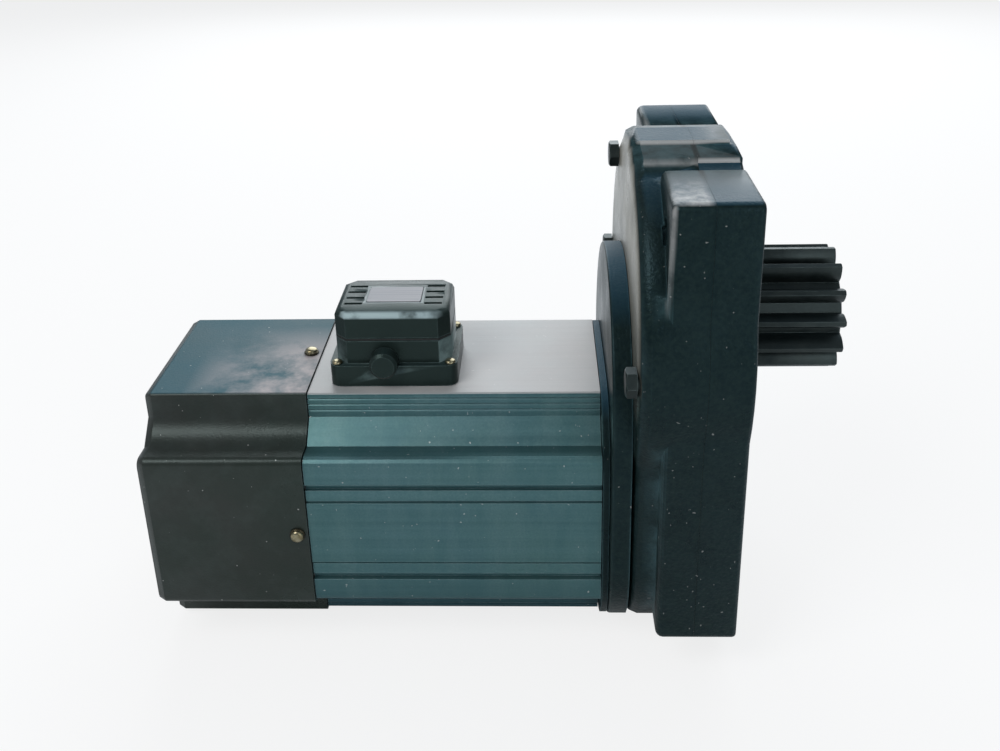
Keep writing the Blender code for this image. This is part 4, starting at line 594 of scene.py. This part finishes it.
def outer_outline(edge):
    """Tells the edges of the case's outline in its outer plane, not those of its bores."""
    return on_x(outer_high[0])(edge) and all(
        max(abs(vert.co.y), abs(vert.co.z - OUTPUT_AXIS_Z)) > BORE_ROOM
        for vert in edge.verts)


def lug_rim(edge):
    """Tells the lugs' outer rim in their rear plane, not their holes or inner corners."""
    return on_x(LUG_REAR)(edge) and edge.is_convex and all(
        abs(abs(vert.co.y) - LUG_HOLE_Y) > LUG_HOLE_ROOM
        or abs(vert.co.z - LUG_HOLE_Z) > LUG_HOLE_ROOM for vert in edge.verts)


inner_case = soft_copy("gear_case_inner", "housing", painted,
                       [(lug_rim, LUG_ROUNDING, 4)])
for vert in inner_case.data.vertices:
    if vert.co.x > inner_high[0] - IN_PLANE:
        vert.co.x = outer_low[0] - SEAM
soft_copy("gear_case_outer", "housing", painted,
          [(outer_outline, CASE_ROUNDING, 3)])

blackened, tree, shader = new_finish("blackened steel", roughness=0.4, metallic=0.7)
oily = noise(tree, scale=80, detail=5)
wear_and_highlight = place_group(tree, EDGE_WEAR_AND_HIGHLIGHT, Reach=0.0008, Strength=1.6)
dust_and_light = place_group(tree, DUST_AND_TOP_LIGHT, Film=0.3)
colour = tint(tree, oily, BLACKENED_DARK, BLACKENED_LIGHT)
# Edge wear together with painted highlights on the edges.
colour = tint(tree, wear_and_highlight.outputs["Mask"], colour, STEEL_WEAR_AND_HIGHLIGHT)
# Painted bluish sheen on faces turned up.
colour = tint(tree, dust_and_light.outputs["Film"], colour, STEEL_TOP_SHEEN)
tree.links.new(colour, shader.inputs["Base Color"])
tree.links.new(ramp(tree, oily, 0.32, 0.5), shader.inputs["Roughness"])
relief(tree, shader, oily, depth=0.0001)


def hexagon(shape, flats=0.013, tall=0.0055, shank=0.004, length=0.042):
    """A hexagon head over its shank."""
    around = flats / math.sqrt(3)
    turned(shape, [(0, 0), (around, 0), (around, -tall), (0, -tall)], steps=6)
    turned(shape, [(0, -tall - SCREW_GAP), (shank, -tall - SCREW_GAP),
                   (shank, -tall - length + 0.001), (shank - 0.0008, -tall - length),
                   (0, -tall - length)], steps=16)


def chamfer_cone(shape, flats=0.013, deep=0.06):
    """The turned body that a hexagon head is cut to, which rounds its corners off."""
    turned(shape, [(0, 0.00001), (flats * 0.475, 0.00001), (flats * 0.6, -0.0011),
                   (flats * 0.6, -deep), (0, -deep)], steps=48)


for side in ("far_top", "far_low", "near_low"):
    fastener("case_bolt_" + side, "housing", (-1, 0, 0), (blackened,),
             hexagon, chamfer_cone, "INTERSECT")

# ---- output seal and pinion ----------------------------------------------------------
# The output pinion is hobbed and blackened, with softened tooth ends, and a washer and
# bolt hold it on its shaft. A rubber seal closes the case round the shaft behind it.
TOOTH_END_ROUNDING = 0.0008

rubber = mottled_finish("seal rubber", roughness=0.7, metallic=0.0,
                        dark=(0.005, 0.008, 0.007), light=(0.011, 0.014, 0.013),
                        depth=0.00005, scale=400, detail=3, rough=0.5)
dress_nodes(rubber, "output_seal")
dress_nodes(ground, "pinion_washer")


def pinion_hexagon(shape):
    """The thin hexagon head of the bolt in the pinion's end, over a short shank."""
    hexagon(shape, flats=0.013, tall=0.0022, shank=0.004, length=0.016)


fastener("pinion_bolt", "output", (1, 0, 0), (ground,), pinion_hexagon,
         chamfer_cone, "INTERSECT")
pinion_low, pinion_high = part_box("output_pinion")
soft_copy("output_pinion", "output", blackened,
          [(on_x(pinion_high[0]), TOOTH_END_ROUNDING, 2),
           (on_x(pinion_low[0]), TOOTH_END_ROUNDING, 2)])

# ---- terminal box --------------------------------------------------------------------
# A moulded black box on the body's top: plinth and walls in one, a lid with ribs each
# side of a bare plate, a blanking plug in the cable entry, and yellow corner screws.
BOX_DARK = (0.006, 0.011, 0.010)
BOX_LIGHT = (0.012, 0.019, 0.017)
BOX_WEAR_AND_HIGHLIGHT = (0.12, 0.17, 0.17)
BOX_TOP_SHEEN = (0.04, 0.075, 0.08)
CHAMFER_PAINTED_HIGHLIGHT = (0.40, 0.50, 0.52)
LIGHT_FRAME_BAND = (0.27, 0.31, 0.32)
CHAMFER_FOOT, CHAMFER_HEAD = (-0.0040, -0.0030), (-0.0001, -0.0009)     # from the lid's top
CHAMFER_NEAR = (0.0042, 0.0032)                         # from the lid's near side
CHAMFER_REAR, CHAMFER_FRONT = (0.002, 0.006), (-0.003, -0.012)          # from its ends
FRAME_FACE = (-0.0006, -0.0003)                         # from the lid's top
FRAME_OUTSIDE, FRAME_INSIDE = 0.0019, 0.0015            # from the plate's edges

lid_low, lid_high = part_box("terminal_box_lid")
plate_low, plate_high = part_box("blank_plate")


def from_edge(tree, axis, edge, places):
    """A mask between two places that are measured from a piece's edge."""
    return across(tree, axis, edge + places[0], edge + places[1])


box_plastic, tree, shader = new_finish("black box moulding", roughness=0.3, metallic=0.0,
                                       specular=0.25, sheen=(0.7, 1.0, 0.95))
fine = noise(tree, scale=800, detail=3, rough=0.5)
clouds = noise(tree, scale=20, detail=5)
wear_and_highlight = place_group(tree, EDGE_WEAR_AND_HIGHLIGHT, Reach=0.0011, Strength=2.6)
dust_and_light = place_group(tree, DUST_AND_TOP_LIGHT, Film=0.2)
# Painted highlight on the broad chamfer along the lid's near top edge.
chamfer = product(tree, from_edge(tree, "Z", lid_high[2], CHAMFER_FOOT),
                  from_edge(tree, "Z", lid_high[2], CHAMFER_HEAD),
                  from_edge(tree, "Y", lid_low[1], CHAMFER_NEAR),
                  from_edge(tree, "X", lid_low[0], CHAMFER_REAR),
                  from_edge(tree, "X", lid_high[0], CHAMFER_FRONT),
                  noise(tree, scale=60, detail=4, low=0.25, high=0.5))
frame_sides = [from_edge(tree, axis, edge, (out * FRAME_OUTSIDE, out * FRAME_INSIDE))
               for i, axis in enumerate("XY")
               for edge, out in ((plate_low[i], -1), (plate_high[i], 1))]
# A lighter band on the lid's top, round the plate.
frame_rim = product(tree, from_edge(tree, "Z", lid_high[2], FRAME_FACE),
                    facing(tree, "Z", *FACES_UP), *frame_sides)
colour = tint(tree, clouds, BOX_DARK, BOX_LIGHT)
# Edge wear together with painted highlights on the edges.
colour = tint(tree, wear_and_highlight.outputs["Mask"], colour, BOX_WEAR_AND_HIGHLIGHT)
# Painted bluish sheen on faces turned up.
colour = tint(tree, dust_and_light.outputs["Film"], colour, BOX_TOP_SHEEN)
# Painted pale-blue highlight on the chamfer.
colour = tint(tree, product(tree, chamfer, 0.85), colour, CHAMFER_PAINTED_HIGHLIGHT)
colour = tint(tree, product(tree, frame_rim, 0.7), colour, LIGHT_FRAME_BAND)
tree.links.new(colour, shader.inputs["Base Color"])
tree.links.new(ramp(tree, clouds, 0.25, 0.4), shader.inputs["Roughness"])
relief(tree, shader, fine, depth=0.00004)
for name in ("terminal_box_base", "terminal_box_lid", "cable_entry_plug"):
    soft_copy(name, "housing", box_plastic)
dress_nodes(rubber, "terminal_box_gasket")


def small_pan_head(shape):
    """The box's smaller pan head, without a washer."""
    pan_head(shape, head=0.0028, tall=0.0016, washer=0, shank=0.0016, length=0.007)


for corner in ("near_left", "near_right", "far_left", "far_right"):
    fastener("box_screw_" + corner, "housing", (0, 0, 1), (zinc,),
             small_pan_head, cross_recess, "DIFFERENCE")
dress_nodes(zinc, "terminal_stud_1", "terminal_stud_2", "terminal_stud_3")

board = mottled_finish("moulded terminal board", roughness=0.6, metallic=0.0,
                       dark=(0.30, 0.22, 0.12), light=(0.42, 0.33, 0.2), depth=0.0001,
                       scale=60, detail=4)
dress_nodes(board, "terminal_board")

plate = mottled_finish("bare brushed plate", roughness=0.55, metallic=0.15,
                       dark=(0.24, 0.25, 0.27), light=(0.31, 0.31, 0.33), depth=0.00002,
                       scale=200, detail=3, rough=0.5, stretch=(0.1, 4, 4))
dress_nodes(plate, "blank_plate")

# ---- floor, lamps and camera ---------------------------------------------------------
# A plain pale floor that goes on to the horizon, soft lamps above and beside the motor,
# and the camera of the photograph.
FLOOR_REACH = 9
FLOOR_COLOUR = (0.85, 0.86, 0.87)
FLOOR_GLOW_SHARE = 0.8                  # for the camera alone
WORLD_COLOUR = (0.80, 0.90, 1.0)
WORLD_STRENGTH = 0.35
MOTOR_MIDDLE = (0, 0, 0.12)
CAMERA_PLACE = (0.02695, -0.5372, 0.4238)
CAMERA_TURNS = (68.154, 1.405, 1.903)           # degrees about X, Y and Z
SENSOR_WIDTH, LENS = 36, 38.44                  # millimetres
SHIFT_X, SHIFT_Y = 0.003, -0.1258


def mix_shaders(tree, mask, first, second, end):
    """Mix two shader sockets by a mask, into the end node's surface."""
    blend = tree.nodes.new("ShaderNodeMixShader")
    tree.links.new(mask, blend.inputs["Fac"])
    tree.links.new(first, blend.inputs[1])
    tree.links.new(second, blend.inputs[2])
    tree.links.new(blend.outputs["Shader"], end.inputs["Surface"])


floor_mesh = bpy.data.meshes.new("floor")
floor_mesh.from_pydata([(x * FLOOR_REACH, y * FLOOR_REACH, 0)
                        for x, y in ((-1, -1), (1, -1), (1, 1), (-1, 1))],
                       [], [(0, 1, 2, 3)])
floor = bpy.data.objects.new("floor", floor_mesh)
bpy.context.collection.objects.link(floor)
pale, tree, shader = new_finish("pale floor", roughness=0.9, metallic=0.0, specular=0.0)
shader.inputs["Base Color"].default_value = (*FLOOR_COLOUR, 1)
glow = tree.nodes.new("ShaderNodeEmission")
glow.inputs["Strength"].default_value = 1.0
seen = tree.nodes.new("ShaderNodeLightPath")
mix_shaders(tree, product(tree, seen.outputs["Is Camera Ray"], FLOOR_GLOW_SHARE),
            shader.outputs["BSDF"], glow.outputs["Emission"],
            tree.nodes["Material Output"])
floor_mesh.materials.append(pale)

world = bpy.data.worlds.new("studio")
bpy.context.scene.world = world
world.use_nodes = True
tree = world.node_tree
plain = tree.nodes["Background"]
plain.inputs["Color"].default_value = (*WORLD_COLOUR, 1)
plain.inputs["Strength"].default_value = WORLD_STRENGTH
white = tree.nodes.new("ShaderNodeBackground")
white.inputs["Strength"].default_value = 1.0
seen = tree.nodes.new("ShaderNodeLightPath")
mix_shaders(tree, seen.outputs["Is Camera Ray"], plain.outputs["Background"],
            white.outputs["Background"], tree.nodes["World Output"])


def soft_lamp(name, place, size, power, colour):
    """A square soft lamp that faces the motor's middle."""
    data = bpy.data.lights.new(name, "AREA")
    data.size = size
    data.energy = power
    data.color = colour
    lamp = bpy.data.objects.new(name, data)
    lamp.location = place
    aim = Vector(MOTOR_MIDDLE) - lamp.location
    lamp.rotation_euler = aim.to_track_quat("-Z", "Y").to_euler()
    bpy.context.collection.objects.link(lamp)


soft_lamp("key lamp", place=(-0.9, -0.9, 1.5), size=0.9, power=14, colour=(1.0, 0.97, 0.94))
soft_lamp("back panel", place=(0.1, 1.5, 1.1), size=1.8, power=26, colour=(0.95, 0.98, 1.0))
soft_lamp("front fill", place=(1.0, -1.6, 0.7), size=0.8, power=7, colour=(0.9, 0.97, 1.0))

camera_data = bpy.data.cameras.new("camera")
camera_data.sensor_width = SENSOR_WIDTH
camera_data.lens = LENS
camera_data.shift_x = SHIFT_X
camera_data.shift_y = SHIFT_Y
camera = bpy.data.objects.new("camera", camera_data)
camera.location = CAMERA_PLACE
camera.rotation_euler = [math.radians(turn) for turn in CAMERA_TURNS]
bpy.context.collection.objects.link(camera)
scene = bpy.context.scene
scene.camera = camera
scene.view_settings.view_transform = "Standard"
